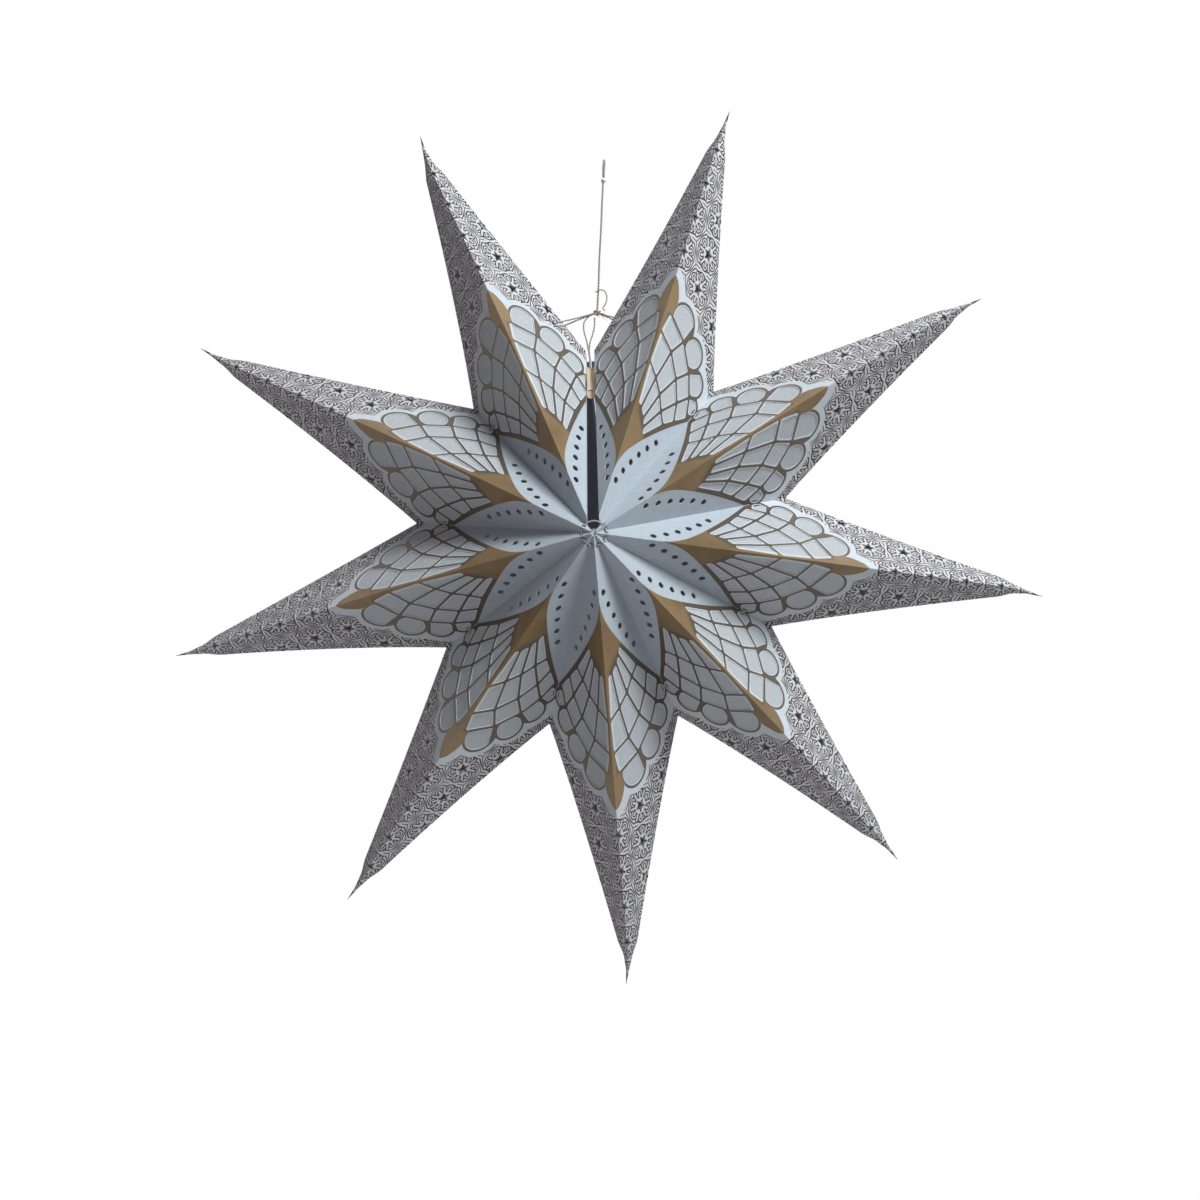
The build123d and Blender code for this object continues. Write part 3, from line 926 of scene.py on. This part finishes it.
@dataclass(frozen=True)
class GoldFoil:
    """Satin gold foil, stamped on the card."""

    name: str = "gold_foil"
    gold: Colour = (0.225, 0.150, 0.080)
    deep: Colour = (0.125, 0.080, 0.038)
    line: Colour = (0.095, 0.076, 0.060)
    glint: Colour = (1.0, 0.80, 0.55)

    def build(self) -> bpy.types.Material:
        """Makes the material."""
        g = Graph(self.name)
        broad, fine = g.noise(g.solid(), 35.0, 3.0), g.noise(g.solid(), 900.0, 4.0)
        colour = g.mix(g.band(broad, 0.35, 0.75, 0.0, 0.7), self.gold, self.deep)
        colour = g.mix(self.on_lines(g), colour, self.line)
        rough = g.band(fine, 0.3, 0.7, 0.38, 0.50)
        return g.finish(Base_Color=colour, Metallic=0.1, Roughness=rough, Specular_IOR_Level=0.5,
                        Specular_Tint=self.glint, Normal=g.bump(fine, 0.00008, 0.2))

    def on_lines(self, g: Graph) -> Socket:
        """One on the net's thin lines, zero on the broad root and spear head of a rib."""
        u, v = (g.axis(g.flat(), index) for index in (0, 1))
        past_root = g.band(g.maths("MULTIPLY_ADD", v, 1.1, u), 95.0, 101.0)
        before_spear = g.band(u, 163.0, 166.0, 1.0, 0.0)
        off_rib = g.maths("MULTIPLY", g.band(v, 3.0, 5.0), before_spear)
        return g.maths("MULTIPLY", past_root, g.maths("MAXIMUM", g.band(v, 10.0, 11.0), off_rib))


@dataclass(frozen=True)
class FibrePaper:
    """Thin translucent paper with long pale fibres, and a faint painted glow that stands in for light coming through
    it.
    """

    ground: Colour = (0.36, 0.375, 0.39)
    cloud: Colour = (0.43, 0.45, 0.465)
    fibre: Colour = (0.56, 0.585, 0.61)
    # glow: painted light, a faint emission that stands in for light coming through the paper
    glow: Colour = (0.012, 0.012, 0.015)

    def build(self) -> bpy.types.Material:
        """Makes the material."""
        g = Graph("window_paper")
        uv = g.flat()
        webs = []
        for turn, scale in ((0.3, 0.32), (1.5, 0.36), (2.5, 0.30)):
            turned = g.node("ShaderNodeMapping", inputs={
                "Vector": uv, "Rotation": (0.0, 0.0, turn), "Scale": (scale * 3.2, scale, 1.0)})
            web = g.node("ShaderNodeTexNoise", "Fac", {
                "Vector": turned, "Scale": 1.0, "Detail": 2.0, "Distortion": 1.4})
            webs.append(g.line(g.maths("SUBTRACT", web, 0.5), 0.018, 0.014))
        strands = g.combined("MAXIMUM", webs)
        cloud = g.noise(uv, 0.9, 4.0)
        base = g.mix(g.band(cloud, 0.3, 0.7), self.ground, self.cloud)
        colour = g.mix(g.maths("MULTIPLY", strands, 0.6), base, self.fibre)
        # The emission is painted light: this faint glow stands in for light that comes through the paper.
        return g.finish(Base_Color=colour, Roughness=0.8, Specular_IOR_Level=0.25, Emission_Color=self.glow,
                        Emission_Strength=1.0, Normal=g.bump(strands, 0.0001, 0.4))


@dataclass(frozen=True)
class TwistedFibre:
    """Cotton string or thread, mottled by noise in the piece's own coordinates."""

    name: str
    colour: Colour
    shade: Colour

    def build(self) -> bpy.types.Material:
        """Makes the material."""
        g = Graph(self.name)
        lint, tone = g.noise(g.solid(), 2600.0, 4.0, 0.7), g.noise(g.solid(), 240.0, 2.0)
        colour = g.mix(g.band(lint, 0.3, 0.7), self.shade, self.colour)
        colour = g.mix(g.band(tone, 0.4, 0.7, 0.0, 0.35), colour, self.shade)
        return g.finish(Base_Color=colour, Roughness=0.9, Sheen_Weight=0.2, Normal=g.bump(lint, 0.0001, 0.5))


@dataclass(frozen=True)
class StapleWire:
    """Dull wire that has browned."""

    steel: Colour = (0.24, 0.20, 0.17)
    rust: Colour = (0.13, 0.07, 0.035)

    def build(self) -> bpy.types.Material:
        """Makes the material."""
        g = Graph("staple_wire")
        spots = g.noise(g.solid(), 1500.0, 4.0)
        colour = g.mix(g.band(spots, 0.4, 0.65), self.steel, self.rust)
        return g.finish(Base_Color=colour, Metallic=0.8, Roughness=g.band(spots, 0.3, 0.7, 0.35, 0.6))


# ---- leaves ----


@dataclass
class LeafMaker:
    """Cuts, prints and folds the leaves."""

    form: StarForm
    pattern: FacetPattern
    card_step: float = 9.0
    paper_back: float = 0.45
    crease: float = 24.0
    sheets: dict[str, bpy.types.Mesh] = field(default_factory=dict)

    def cut_sheets(self) -> None:
        """Cuts the flat sheets that every leaf is laid from."""
        p = self.pattern
        punched = p.petal_dots() + p.star_holes()
        holes = p.windows(p.window_inset, p.window_corner) + punched + p.lacing_holes()
        in_front, behind = p.paper_outline(True), p.paper_outline(False)
        for name, outline, cut in (
                ("card", p.facet_outline(), holes), ("card_tied", p.facet_outline(), holes + p.tie_holes()),
                ("foil", p.foil_outline(), p.foil_gaps()),
                ("paper", in_front, punched), ("paper_tied", in_front, punched + p.tie_holes()),
                ("paper_behind", behind, []), ("paper_behind_tied", behind, p.tie_holes())):
            self.sheets[name] = flat_sheet(outline, cut, self.card_step, "flat_" + name)

    def tied_side(self, leaf: int) -> int:
        """The side of a leaf that lies along the seam, or 0."""
        return {1: -1, self.form.leaf_count: 1}.get(leaf, 0)

    def folded(self, leaf: int, skin: Skin) -> Sheet:
        """Lays the four facets of one layer of a leaf.

        Args:
            leaf: the leaf's number.
            skin: which layer.

        Returns:
            A bmesh in the leaf's frame, in millimetres.
        """
        bm = bmesh.new()
        for facet in Facet:
            kind = skin.name.lower()
            if skin is Skin.PAPER and facet.face > 0:
                kind += "_behind"
            if facet.side == self.tied_side(leaf) and kind + "_tied" in self.sheets:
                kind += "_tied"
            first_vert, first_face = len(bm.verts), len(bm.faces)
            bm.from_mesh(self.sheets[kind])
            bm.verts.ensure_lookup_table()
            bm.faces.ensure_lookup_table()
            for vert in bm.verts[first_vert:]:
                vert.co = self.form.lay(vert.co.x, vert.co.y, facet, leaf, skin.lift)
            if facet.side * facet.face < 0:
                bmesh.ops.reverse_faces(bm, faces=bm.faces[first_face:])
        bmesh.ops.remove_doubles(bm, verts=bm.verts[:], dist=0.02)
        bm.normal_update()
        return bm

    def side_axes(self, side: int) -> tuple[Vector, Vector]:
        """Unit vectors out along one side of a leaf, and in from that side."""
        half = self.form.half_leaf
        return Vector((side * math.sin(half), 0, math.cos(half))), Vector((-side * math.cos(half), 0, math.sin(half)))

    def seam_plane(self, side: int, wide: bool) -> tuple[Vector, Vector]:
        """The plane that a leaf's seam side is cut along, wide in front or drawn together behind.

        Args:
            side: the leaf's side that lies along the seam.
            wide: whether it is the wide part.

        Returns:
            A point of the plane and the direction that is cut away.
        """
        f = self.form
        radial, inward = self.side_axes(side)
        if not wide:
            return inward * f.seam_back_half_gap, -inward
        near, far = inward * f.seam_half_gap_centre, radial * f.notch_radius + inward * f.seam_half_gap_notch
        normal = (far - near).cross(Vector((0, 1, 0))).normalized()
        if normal.dot(inward) > 0:
            normal.negate()
        return near, normal

    def open_seam(self, bm: Sheet, side: int, extra: float) -> None:
        """Cuts a leaf back along the seam: wide in front and at the notch, narrow behind.

        Args:
            bm: the layer of the leaf.
            side: its side along the seam.
            extra: how much further this layer stays back.
        """
        radial, _ = self.side_axes(side)
        limit = self.form.seam_back_open_from
        divide(bm, radial * limit, radial)
        divide(bm, Vector(), Vector((0, 1, 0)))
        for wide in (True, False):
            place, normal = self.seam_plane(side, wide)
            part = []
            for face in bm.faces:
                middle = face.calc_center_median()
                if (middle.y < 0 or middle.dot(radial) > limit) is wide:
                    part.append(face)
            geometry = part + list({e for f in part for e in f.edges}) + list({v for f in part for v in f.verts})
            cut = bmesh.ops.bisect_plane(bm, geom=geometry, dist=1e-5, plane_co=place - normal * extra,
                                         plane_no=normal)
            part = set(part) | {g for g in cut["geom"] if isinstance(g, bmesh.types.BMFace)}
            gone = [f for f in part if f.is_valid and (f.calc_center_median() - place).dot(normal) + extra > 0]
            bmesh.ops.delete(bm, geom=gone, context="FACES")

    def add_flanges(self, bm: Sheet, leaf: int) -> None:
        """Turns the glue flanges in along the valleys."""
        f = self.form
        for side in (-1, 1):
            radial, inward = self.side_axes(side)
            cuts = [(Vector(), -inward)]
            if side == self.tied_side(leaf):
                cuts = [self.seam_plane(side, True), self.seam_plane(side, False)]
            valley = math.hypot(f.notch_radius, f.half_depth)
            rise, run = f.notch_radius / valley, f.half_depth / valley
            for face, (place, normal) in ((face, cut) for face in (-1, 1) for cut in cuts):
                edges = [e for e in bm.edges if e.is_boundary
                         and all(abs((v.co - place).dot(normal)) < 0.03 and v.co.y * face > 0.2 for v in e.verts)]
                if not edges:
                    continue
                made = bmesh.ops.extrude_edge_only(bm, edges=edges)
                shift = (radial * -run + Vector((0, -face * rise, 0))) * f.flange_width + inward * f.flange_lean
                turned = [item for item in made["geom"] if isinstance(item, bmesh.types.BMVert)]
                bmesh.ops.translate(bm, verts=turned, vec=shift)
                for item in made["geom"]:
                    if isinstance(item, bmesh.types.BMFace):
                        item.material_index = 1

    def piece(self, leaf: int, skin: Skin, name: str, finishes: Sequence[bpy.types.Material]) -> bpy.types.Object:
        """Makes one layer of a leaf a finished object.

        Args:
            leaf: the leaf's number.
            skin: which layer.
            name: the object's name.
            finishes: materials of its outside and, for card, its inside.

        Returns:
            The object, in place.
        """
        bm = self.folded(leaf, skin)
        side = self.tied_side(leaf)
        if side:
            self.open_seam(bm, side, self.paper_back if skin is Skin.PAPER else 0.0)
        if skin is Skin.CARD:
            self.add_flanges(bm, leaf)
        bmesh.ops.transform(bm, matrix=self.form.in_place(leaf), verts=bm.verts[:])
        bm.normal_update()
        made = placed(finished(bm, name, finishes), name)
        if skin.thickness:
            wall = made.modifiers.new("wall", "SOLIDIFY")
            wall.thickness = skin.thickness * MM
            wall.offset = -1.0
            wall.material_offset = len(finishes) - 1
            wall.material_offset_rim = len(finishes) - 1
        made_solid(made, self.crease)
        return made

    def build(self) -> None:
        """Builds every leaf and rides its pieces on the leaf's body."""
        self.cut_sheets()
        printed, plain = CardPrint().build(), PlainCard().build()
        gold, paper = GoldFoil().build(), FibrePaper().build()
        for leaf in range(1, self.form.leaf_count + 1):
            layers = [
                (self.piece(leaf, Skin.CARD, f"card_{leaf}", (printed, plain)), "card", [f"leaf_{leaf}"]),
                (self.piece(leaf, Skin.FOIL, f"foil_{leaf}", (gold,)), "foil", []),
                (self.piece(leaf, Skin.PAPER, f"paper_{leaf}", (paper,)), "window_paper",
                 [f"window_paper_{leaf}_{face}_{hand}" for face in ("front", "back") for hand in ("left", "right")]),
            ]
            for made, slot, nodes in layers:
                if nodes:
                    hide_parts(*nodes)
                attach(made, f"leaf_{leaf}_body")
                flatten(made)
            LOG.info("leaf %d: %d faces of card", leaf, len(layers[0][0].data.polygons))


def flatten(piece: bpy.types.Object) -> None:
    """Gives a piece its own copy of its mesh."""
    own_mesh(piece)


# ---- string work ----


@dataclass
class Twine:
    """A twisted string that follows a smooth line through a few points."""

    name: str
    route: Sequence[Triple]
    diameter: float
    plies: int = 2
    ply_share: float = 0.56
    lay: float = 4.2
    closed: bool = False

    def centre_line(self) -> list[Vector]:
        """Points of the route's own smooth spline, in metres."""
        curve = bpy.data.curves.new(self.name + "_line", "CURVE")
        curve.dimensions = "3D"
        spline = curve.splines.new("NURBS")
        spline.points.add(len(self.route) - 1)
        for point, place in zip(spline.points, self.route):
            point.co = (*(c * MM for c in place), 1.0)
        spline.order_u = 3
        spline.use_cyclic_u = self.closed
        spline.use_endpoint_u = not self.closed
        spline.resolution_u = 24
        holder = placed(curve, self.name + "_line")
        mesh = evaluated(holder)
        points = [v.co.copy() for v in mesh.vertices]
        bpy.data.objects.remove(holder)
        bpy.data.curves.remove(curve)
        bpy.data.meshes.remove(mesh)
        if self.closed:
            points.append(points[0].copy())
        return points

    def build(self, finish: bpy.types.Material) -> bpy.types.Object:
        """Winds the plies round the line and makes one mesh of them.

        Args:
            finish: the string's material.

        Returns:
            The object, in place.
        """
        line = even_points(self.centre_line(), self.diameter * MM * 0.35)
        frames = parallel_frames(line)
        strand = self.diameter * 0.5 * MM
        thick = strand * self.ply_share
        arm = strand - thick
        total = length_of(line)
        turns = max(1, round(total / (self.lay * MM)))
        bm = bmesh.new()
        for ply in range(self.plies):
            run, points = 0.0, []
            for index, (place, (side, up)) in enumerate(zip(line, frames)):
                if index:
                    run += (place - line[index - 1]).length
                angle = 2 * math.pi * (turns * run / total + ply / self.plies)
                points.append(place + (side * math.cos(angle) + up * math.sin(angle)) * arm)
            sweep_ring(bm, points, thick, 8, self.closed)
        mesh = finished(bm, self.name, [finish])
        mesh.shade_smooth()
        return placed(mesh, self.name)


def length_of(line: Sequence[Vector]) -> float:
    """A line's length."""
    return sum((b - a).length for a, b in zip(line, line[1:]))


def even_points(points: Sequence[Vector], step: float) -> list[Vector]:
    """Points at even distances along a line, both of its ends included."""
    total = length_of(points)
    count = max(2, round(total / step))
    even, index, passed = [points[0].copy()], 0, 0.0
    for number in range(1, count):
        goal = total * number / count
        while passed + (points[index + 1] - points[index]).length < goal:
            passed += (points[index + 1] - points[index]).length
            index += 1
        run = (points[index + 1] - points[index]).length
        even.append(points[index].lerp(points[index + 1], (goal - passed) / run))
    even.append(points[-1].copy())
    return even


def parallel_frames(line: Sequence[Vector]) -> list[tuple[Vector, Vector]]:
    """Two directions square to a line at each of its points, that don't twist."""
    frames, side = [], None
    for index, place in enumerate(line):
        ahead = line[min(index + 1, len(line) - 1)] - line[max(index - 1, 0)]
        ahead.normalize()
        if side is None:
            side = ahead.orthogonal().normalized()
        side = (side - ahead * side.dot(ahead)).normalized()
        frames.append((side.copy(), ahead.cross(side)))
    return frames


def sweep_ring(bm: Sheet, line: Sequence[Vector], radius: float, segments: int, closed: bool) -> None:
    """Sweeps a round section along a line, into a bmesh.

    Args:
        bm: where the tube goes.
        line: its centre line.
        radius: its radius.
        segments: corners of its section.
        closed: whether the last section joins the first.
    """
    edges: list[bmesh.types.BMEdge] = []
    first: list[bmesh.types.BMEdge] = []
    for index, (place, (side, up)) in enumerate(zip(line, parallel_frames(line))):
        if closed and index == len(line) - 1:
            break
        matrix = Matrix.Translation(place) @ Matrix((side, up, side.cross(up))).transposed().to_4x4()
        made = bmesh.ops.create_circle(bm, cap_ends=False, segments=segments, radius=radius, matrix=matrix)
        section = list({e for v in made["verts"] for e in v.link_edges})
        if edges:
            bmesh.ops.bridge_loops(bm, edges=edges + section)
        else:
            first = section
        edges = section
    if closed:
        bmesh.ops.bridge_loops(bm, edges=edges + first)
    else:
        for end in (first, edges):
            bmesh.ops.holes_fill(bm, edges=end, sides=0)
    bmesh.ops.recalc_face_normals(bm, faces=bm.faces[:])


@dataclass
class StringWork:
    """The hanging string, its loop and knots, the ties at the seam and the lacing threads."""

    form: StarForm
    pattern: FacetPattern
    string_diameter: float = 1.5
    strand_diameter: float = 1.2
    tail_diameter: float = 1.0
    loop_radius: float = 5.5
    knot_place: Triple = (0.0, 0.0, -103.5)
    knot_points: int = 24
    tie_off_card: float = 1.6
    tie_spread: float = 2.2
    lacing_diameter: float = 1.2
    fibres: int = 14
    up: tuple[Triple, ...] = (
        (0.05, 0.0, -101.6), (0.25, -0.05, -84.0), (-0.2, 0.05, -66.0), (0.15, 0.0, -48.0), (-0.1, 0.05, -31.0),
        (0.0, 0.0, -13.0))
    seam_left: tuple[Triple, ...] = (
        (-3.6, 0.0, -104.6), (-8.6, -0.3, -108.6), (-8.8, -0.7, -115.6), (-6.2, -0.9, -122.6),
        (-4.6, -0.9, -129.6), (-3.2, -0.9, -136.6))
    seam_right: tuple[Triple, ...] = (
        (-1.6, 1.2, -106.8), (-1.2, 1.3, -111.6), (-2.3, 1.1, -118.4), (-4.2, 0.9, -124.4),
        (-4.3, 0.9, -130.4), (-3.1, 0.9, -136.6))
    tail: tuple[Triple, ...] = (
        (-1.6, -1.5, -89.9), (1.2, -1.8, -87.7), (4.9, -1.3, -88.6), (6.5, -0.6, -92.9),
        (5.7, -0.3, -97.8), (3.4, -0.2, -100.4))

    def on_leaf(self, leaf: int, across: float, depth: float, along: float) -> Vector:
        """A point of a leaf's frame in the lantern's, in millimetres."""
        return (self.form.in_place(leaf) @ Vector((across, depth, along))) / MM

    def tie_route(self, leaf: int, side: int) -> list[Triple]:
        """From the knot over the front of a leaf, through its hole and back to the knot."""
        across, along, _ = self.pattern.tie_hole
        depth = self.form.half_depth * (1 - along / self.form.tip_radius - across / self.form.root_half_width)
        face = depth + self.tie_off_card
        knot = Vector(self.knot_place)
        holes = [self.on_leaf(leaf, side * across, y, along) for y in (-face, -depth, depth, face)]
        middle = (holes[1] + holes[2]) / 2
        reach = middle - knot
        start = knot + reach.normalized() * self.tie_off_card
        on_face = ((0.0, 1.0), (0.35, self.tie_spread), (0.7, face * 0.72))
        there = [start.lerp(middle, share) - Vector((0, y, 0)) for share, y in on_face]
        back = [start.lerp(middle, share) + Vector((0, y, 0)) for share, y in reversed(on_face)]
        through = [hole + reach * 0.02 for hole in holes]
        route = there + [holes[0] - reach * 0.06] + through + [holes[3] - reach * 0.06] + back
        return [tuple(p) for p in route]

    def knot_route(self, radius: float, centre: Triple, turn: float) -> list[Triple]:
        """A small overhand knot pulled tight, as a closed trefoil."""
        route = []
        for step in range(self.knot_points):
            t = 2 * math.pi * step / self.knot_points
            x = math.sin(t) + 2 * math.sin(2 * t)
            z = math.cos(t) - 2 * math.cos(2 * t)
            y = -math.sin(3 * t)
            spot = Matrix.Rotation(turn, 3, "Y") @ Vector((x, y * 0.9, z * 0.8)) * (radius / 3.0)
            route.append(tuple(Vector(centre) + spot))
        return route

    def build(self) -> None:
        """Builds every string and thread and says what each one rides on."""
        cotton = TwistedFibre("cotton_string", (0.42, 0.36, 0.34), (0.25, 0.20, 0.19)).build()
        thread = TwistedFibre("lacing_thread", (0.42, 0.44, 0.48), (0.29, 0.30, 0.34)).build()
        middle, reach = self.string_diameter / 2 - self.loop_radius, self.loop_radius * 1.02
        circle = [(0.0, p.x, middle + p.y) for p in hoop(reach, 16)]
        loop = self.stringed("loop_of_string", circle, self.string_diameter, cotton, "string", ["hang_loop"],
                             closed=True)
        knot = self.knot_route(1.35, (0.0, 0.0, -13.6), 0.4)
        top_knot = self.stringed("loop_knot_tied", knot, self.strand_diameter, cotton, "string", ["loop_knot"],
                                 closed=True)
        line = Twine("string_up", self.up, self.string_diameter)
        path = line.centre_line()
        up = line.build(cotton)
        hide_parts("hanging_string")
        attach(up, "string")
        self.stringed("seam_knot", self.knot_route(2.2, self.knot_place, 0.0), self.string_diameter, cotton,
                      "leaf_1_body", ["main_knot"], closed=True)
        last = self.form.leaf_count
        for leaf, side, hand in ((last, 1, "left"), (1, -1, "right")):
            tie = self.stringed(f"tie_{hand}", self.tie_route(leaf, side), self.strand_diameter, cotton,
                                f"leaf_{leaf}_body", [f"{hand}_tie"])
            flatten(tie)
        self.stringed("strand_left", self.seam_left, self.strand_diameter, cotton, "leaf_1_body", ["seam_strands"])
        self.stringed("strand_right", self.seam_right, self.strand_diameter, cotton, "leaf_1_body", [])
        self.stringed("loose_end", self.tail, self.tail_diameter, cotton, "leaf_1_body", ["string_tail"])
        at_knot = Vector(self.knot_place) + Vector((1.4, -0.8, -0.6))
        self.fray("knot_fray", at_knot, Vector((1.0, -0.15, -0.75)), 6.5, cotton)
        self.fray("end_fray", Vector(self.tail[-1]), Vector((0.7, -0.5, -0.7)), 3.2, cotton)
        depth = self.pattern.lacing_depth * self.form.half_depth
        for face, name in ((-1, "front"), (1, "back")):
            centre = Vector(self.form.centre) + Vector((0, face * depth, 0))
            route = [tuple(centre + Vector((p.x, 0, p.y))) for p in hoop(self.pattern.lacing_radius, 18)]
            piece = self.stringed(f"lacing_{name}", route, self.lacing_diameter, thread, "leaf_1_body",
                                  [f"{name}_lacing"], closed=True)
            flatten(piece)

    def fray(self, name: str, root: Vector, way: Vector, length: float, finish: bpy.types.Material) -> None:
        """A tuft of loose fibres at a cut end of the string.

        Args:
            name: the piece's name.
            root: where the fibres start, in millimetres.
            way: the direction that they stand out in.
            length: about how long they are.
            finish: the string's material.
        """
        bm = bmesh.new()
        chance = random.Random(name)
        for _ in range(self.fibres):
            spread, bow = (Vector([chance.uniform(-1, 1) for _ in range(3)]) for _ in range(2))
            heading = (way.normalized() + spread * 0.45).normalized()
            reach = length * chance.uniform(0.5, 1.0)
            line = [(root + heading * reach * t + bow * length * 0.25 * t * t) * MM
                    for t in (0.0, 0.2, 0.4, 0.6, 0.8, 1.0)]
            sweep_ring(bm, line, 0.11 * MM, 4, False)
        made = placed(finished(bm, name, [finish]), name)
        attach(made, "leaf_1_body")

    def stringed(self, name: str, route: Sequence[Triple], diameter: float,
                 finish: bpy.types.Material, body: str, nodes: Sequence[str], closed: bool = False) -> bpy.types.Object:
        """Args:
            name: the piece's name.
            route: its points, in millimetres.
            diameter: its thickness.
            finish: its material.
            body: the body that it rides on.
            nodes: the CAD nodes that it stands for.
            closed: whether it joins itself.

        Returns:
            The piece.
        """
        made = Twine(name, route, diameter, closed=closed).build(finish)
        if nodes:
            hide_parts(*nodes)
        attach(made, body)
        LOG.info("%s: %d faces", name, len(made.data.polygons))
        return made


# ---- studio ----


@dataclass(frozen=True)
class Lamp:
    """A soft square lamp: its place and size in metres, its power in watts and its colour."""

    name: str
    place: Triple
    size: float
    power: float
    colour: Colour


@dataclass
class Studio:
    """Pale floor, white surroundings, soft key light from the upper right, and the camera."""

    lamps: tuple[Lamp, ...] = (
        Lamp("key", (0.72, -0.85, 0.69), 0.5, 25.5, (0.93, 0.98, 1.0)),
        Lamp("fill", (-0.8, -1.9, -0.4), 1.6, 1.9, (1.0, 0.62, 0.53)),
        Lamp("back", (0.4, 1.8, 0.9), 1.4, 18.0, (0.95, 0.97, 1.0)))
    sky: tuple[tuple[float, Colour], ...] = ((0.30, (0.24, 0.135, 0.11)), (0.75, (0.80, 0.85, 0.93)))
    sky_strength: float = 0.18
    sensor: float = 36.0
    target: Triple = (0.01097, 0.0, -0.2984)
    eye: Triple = (0.0998, -1.500, -0.357)
    roll: float = 2.64
    seen_width: float = 0.8102
    floor_height: float = -1.15

    def floor(self) -> None:
        """A wide pale floor, seen as plain white further from the star."""
        bm = bmesh.new()
        bmesh.ops.create_grid(bm, x_segments=2, y_segments=2, size=9.0,
                              matrix=Matrix.Translation((0, 0, self.floor_height)))
        g = Graph("pale_floor")
        g.finish(Base_Color=(0.86, 0.86, 0.86), Roughness=0.9)
        away = g.length(g.vector("MULTIPLY", g.solid(), (1.0, 1.0, 0.0)))
        share = g.maths("MULTIPLY", g.seen(), g.band(away, 0.8, 1.9, 0.85, 1.0))
        glow = g.node("ShaderNodeEmission", inputs={"Color": (1.0, 1.0, 1.0)})
        both = g.node("ShaderNodeMixShader", inputs={0: share, 1: g.shader.outputs[0], 2: glow})
        g.put(g.tree.nodes["Material Output"].inputs[0], both)
        made = placed(finished(bm, "floor", [g.material]), "floor")

    def world(self) -> None:
        """White where it is seen, dimmer and warmer from below where it lights."""
        world = bpy.data.worlds.new("surroundings")
        bpy.context.scene.world = world
        world.use_nodes = True
        world.node_tree.nodes.clear()
        g = Nodes(world.node_tree)
        ramp = g.tree.nodes.new("ShaderNodeValToRGB")
        for stop, (position, colour) in zip(ramp.color_ramp.elements, self.sky):
            stop.position, stop.color = position, (*colour, 1)
        height = g.axis(g.node("ShaderNodeTexCoord", "Generated"), 2)
        g.put(ramp.inputs[0], g.maths("MULTIPLY_ADD", height, 0.5, 0.5))
        lighting = g.node("ShaderNodeBackground", inputs={"Color": ramp.outputs[0], "Strength": self.sky_strength})
        white = g.node("ShaderNodeBackground", inputs={"Color": (1.0, 1.0, 1.0)})
        out = g.tree.nodes.new("ShaderNodeOutputWorld")
        g.put(out.inputs[0], g.node("ShaderNodeMixShader", inputs={0: g.seen(), 1: lighting, 2: white}))

    def aim(self, place: Triple) -> Matrix:
        """The rotation that points a lamp or the camera at the star."""
        return (Vector(self.target) - Vector(place)).to_track_quat("-Z", "Y").to_matrix()

    def light(self, lamp: Lamp) -> None:
        """Puts up one lamp."""
        data = bpy.data.lights.new(lamp.name, "AREA")
        data.size, data.energy, data.color = lamp.size, lamp.power, lamp.colour
        made = placed(data, lamp.name)
        made.location = lamp.place
        made.rotation_euler = self.aim(lamp.place).to_euler()

    def camera(self) -> None:
        """The camera, a little below and right of the star and turned slightly."""
        data = bpy.data.cameras.new("camera")
        reach = (Vector(self.target) - Vector(self.eye)).length
        data.sensor_width = self.sensor
        data.lens = self.sensor * reach / self.seen_width
        data.clip_start = 0.05
        made = placed(data, "camera")
        made.location = self.eye
        made.rotation_euler = (self.aim(self.eye) @ Matrix.Rotation(math.radians(self.roll), 3, "Z")).to_euler()
        bpy.context.scene.camera = made

    def build(self) -> None:
        """Sets the scene."""
        self.floor()
        self.world()
        for lamp in self.lamps:
            self.light(lamp)
        self.camera()
        bpy.context.scene.view_settings.view_transform = "Standard"


def dress_seam() -> None:
    """Gives the closing tab and the staple their finishes."""
    tab = GoldFoil("tab_foil", (0.60, 0.50, 0.37), (0.46, 0.36, 0.25)).build()
    wire = StapleWire().build()
    for node, finish in (("seam_tab", tab), ("seam_staple", wire)):
        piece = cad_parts[node]
        piece.data.materials.clear()
        piece.data.materials.append(finish)
        flatten(piece)


def main() -> None:
    """Builds the lantern and its studio."""
    logging.basicConfig(level=logging.INFO, format="%(name)s: %(message)s")
    form = StarForm()
    pattern = FacetPattern(form)
    LeafMaker(form, pattern).build()
    StringWork(form, pattern).build()
    dress_seam()
    Studio().build()


if __name__ == "__main__":
    main()
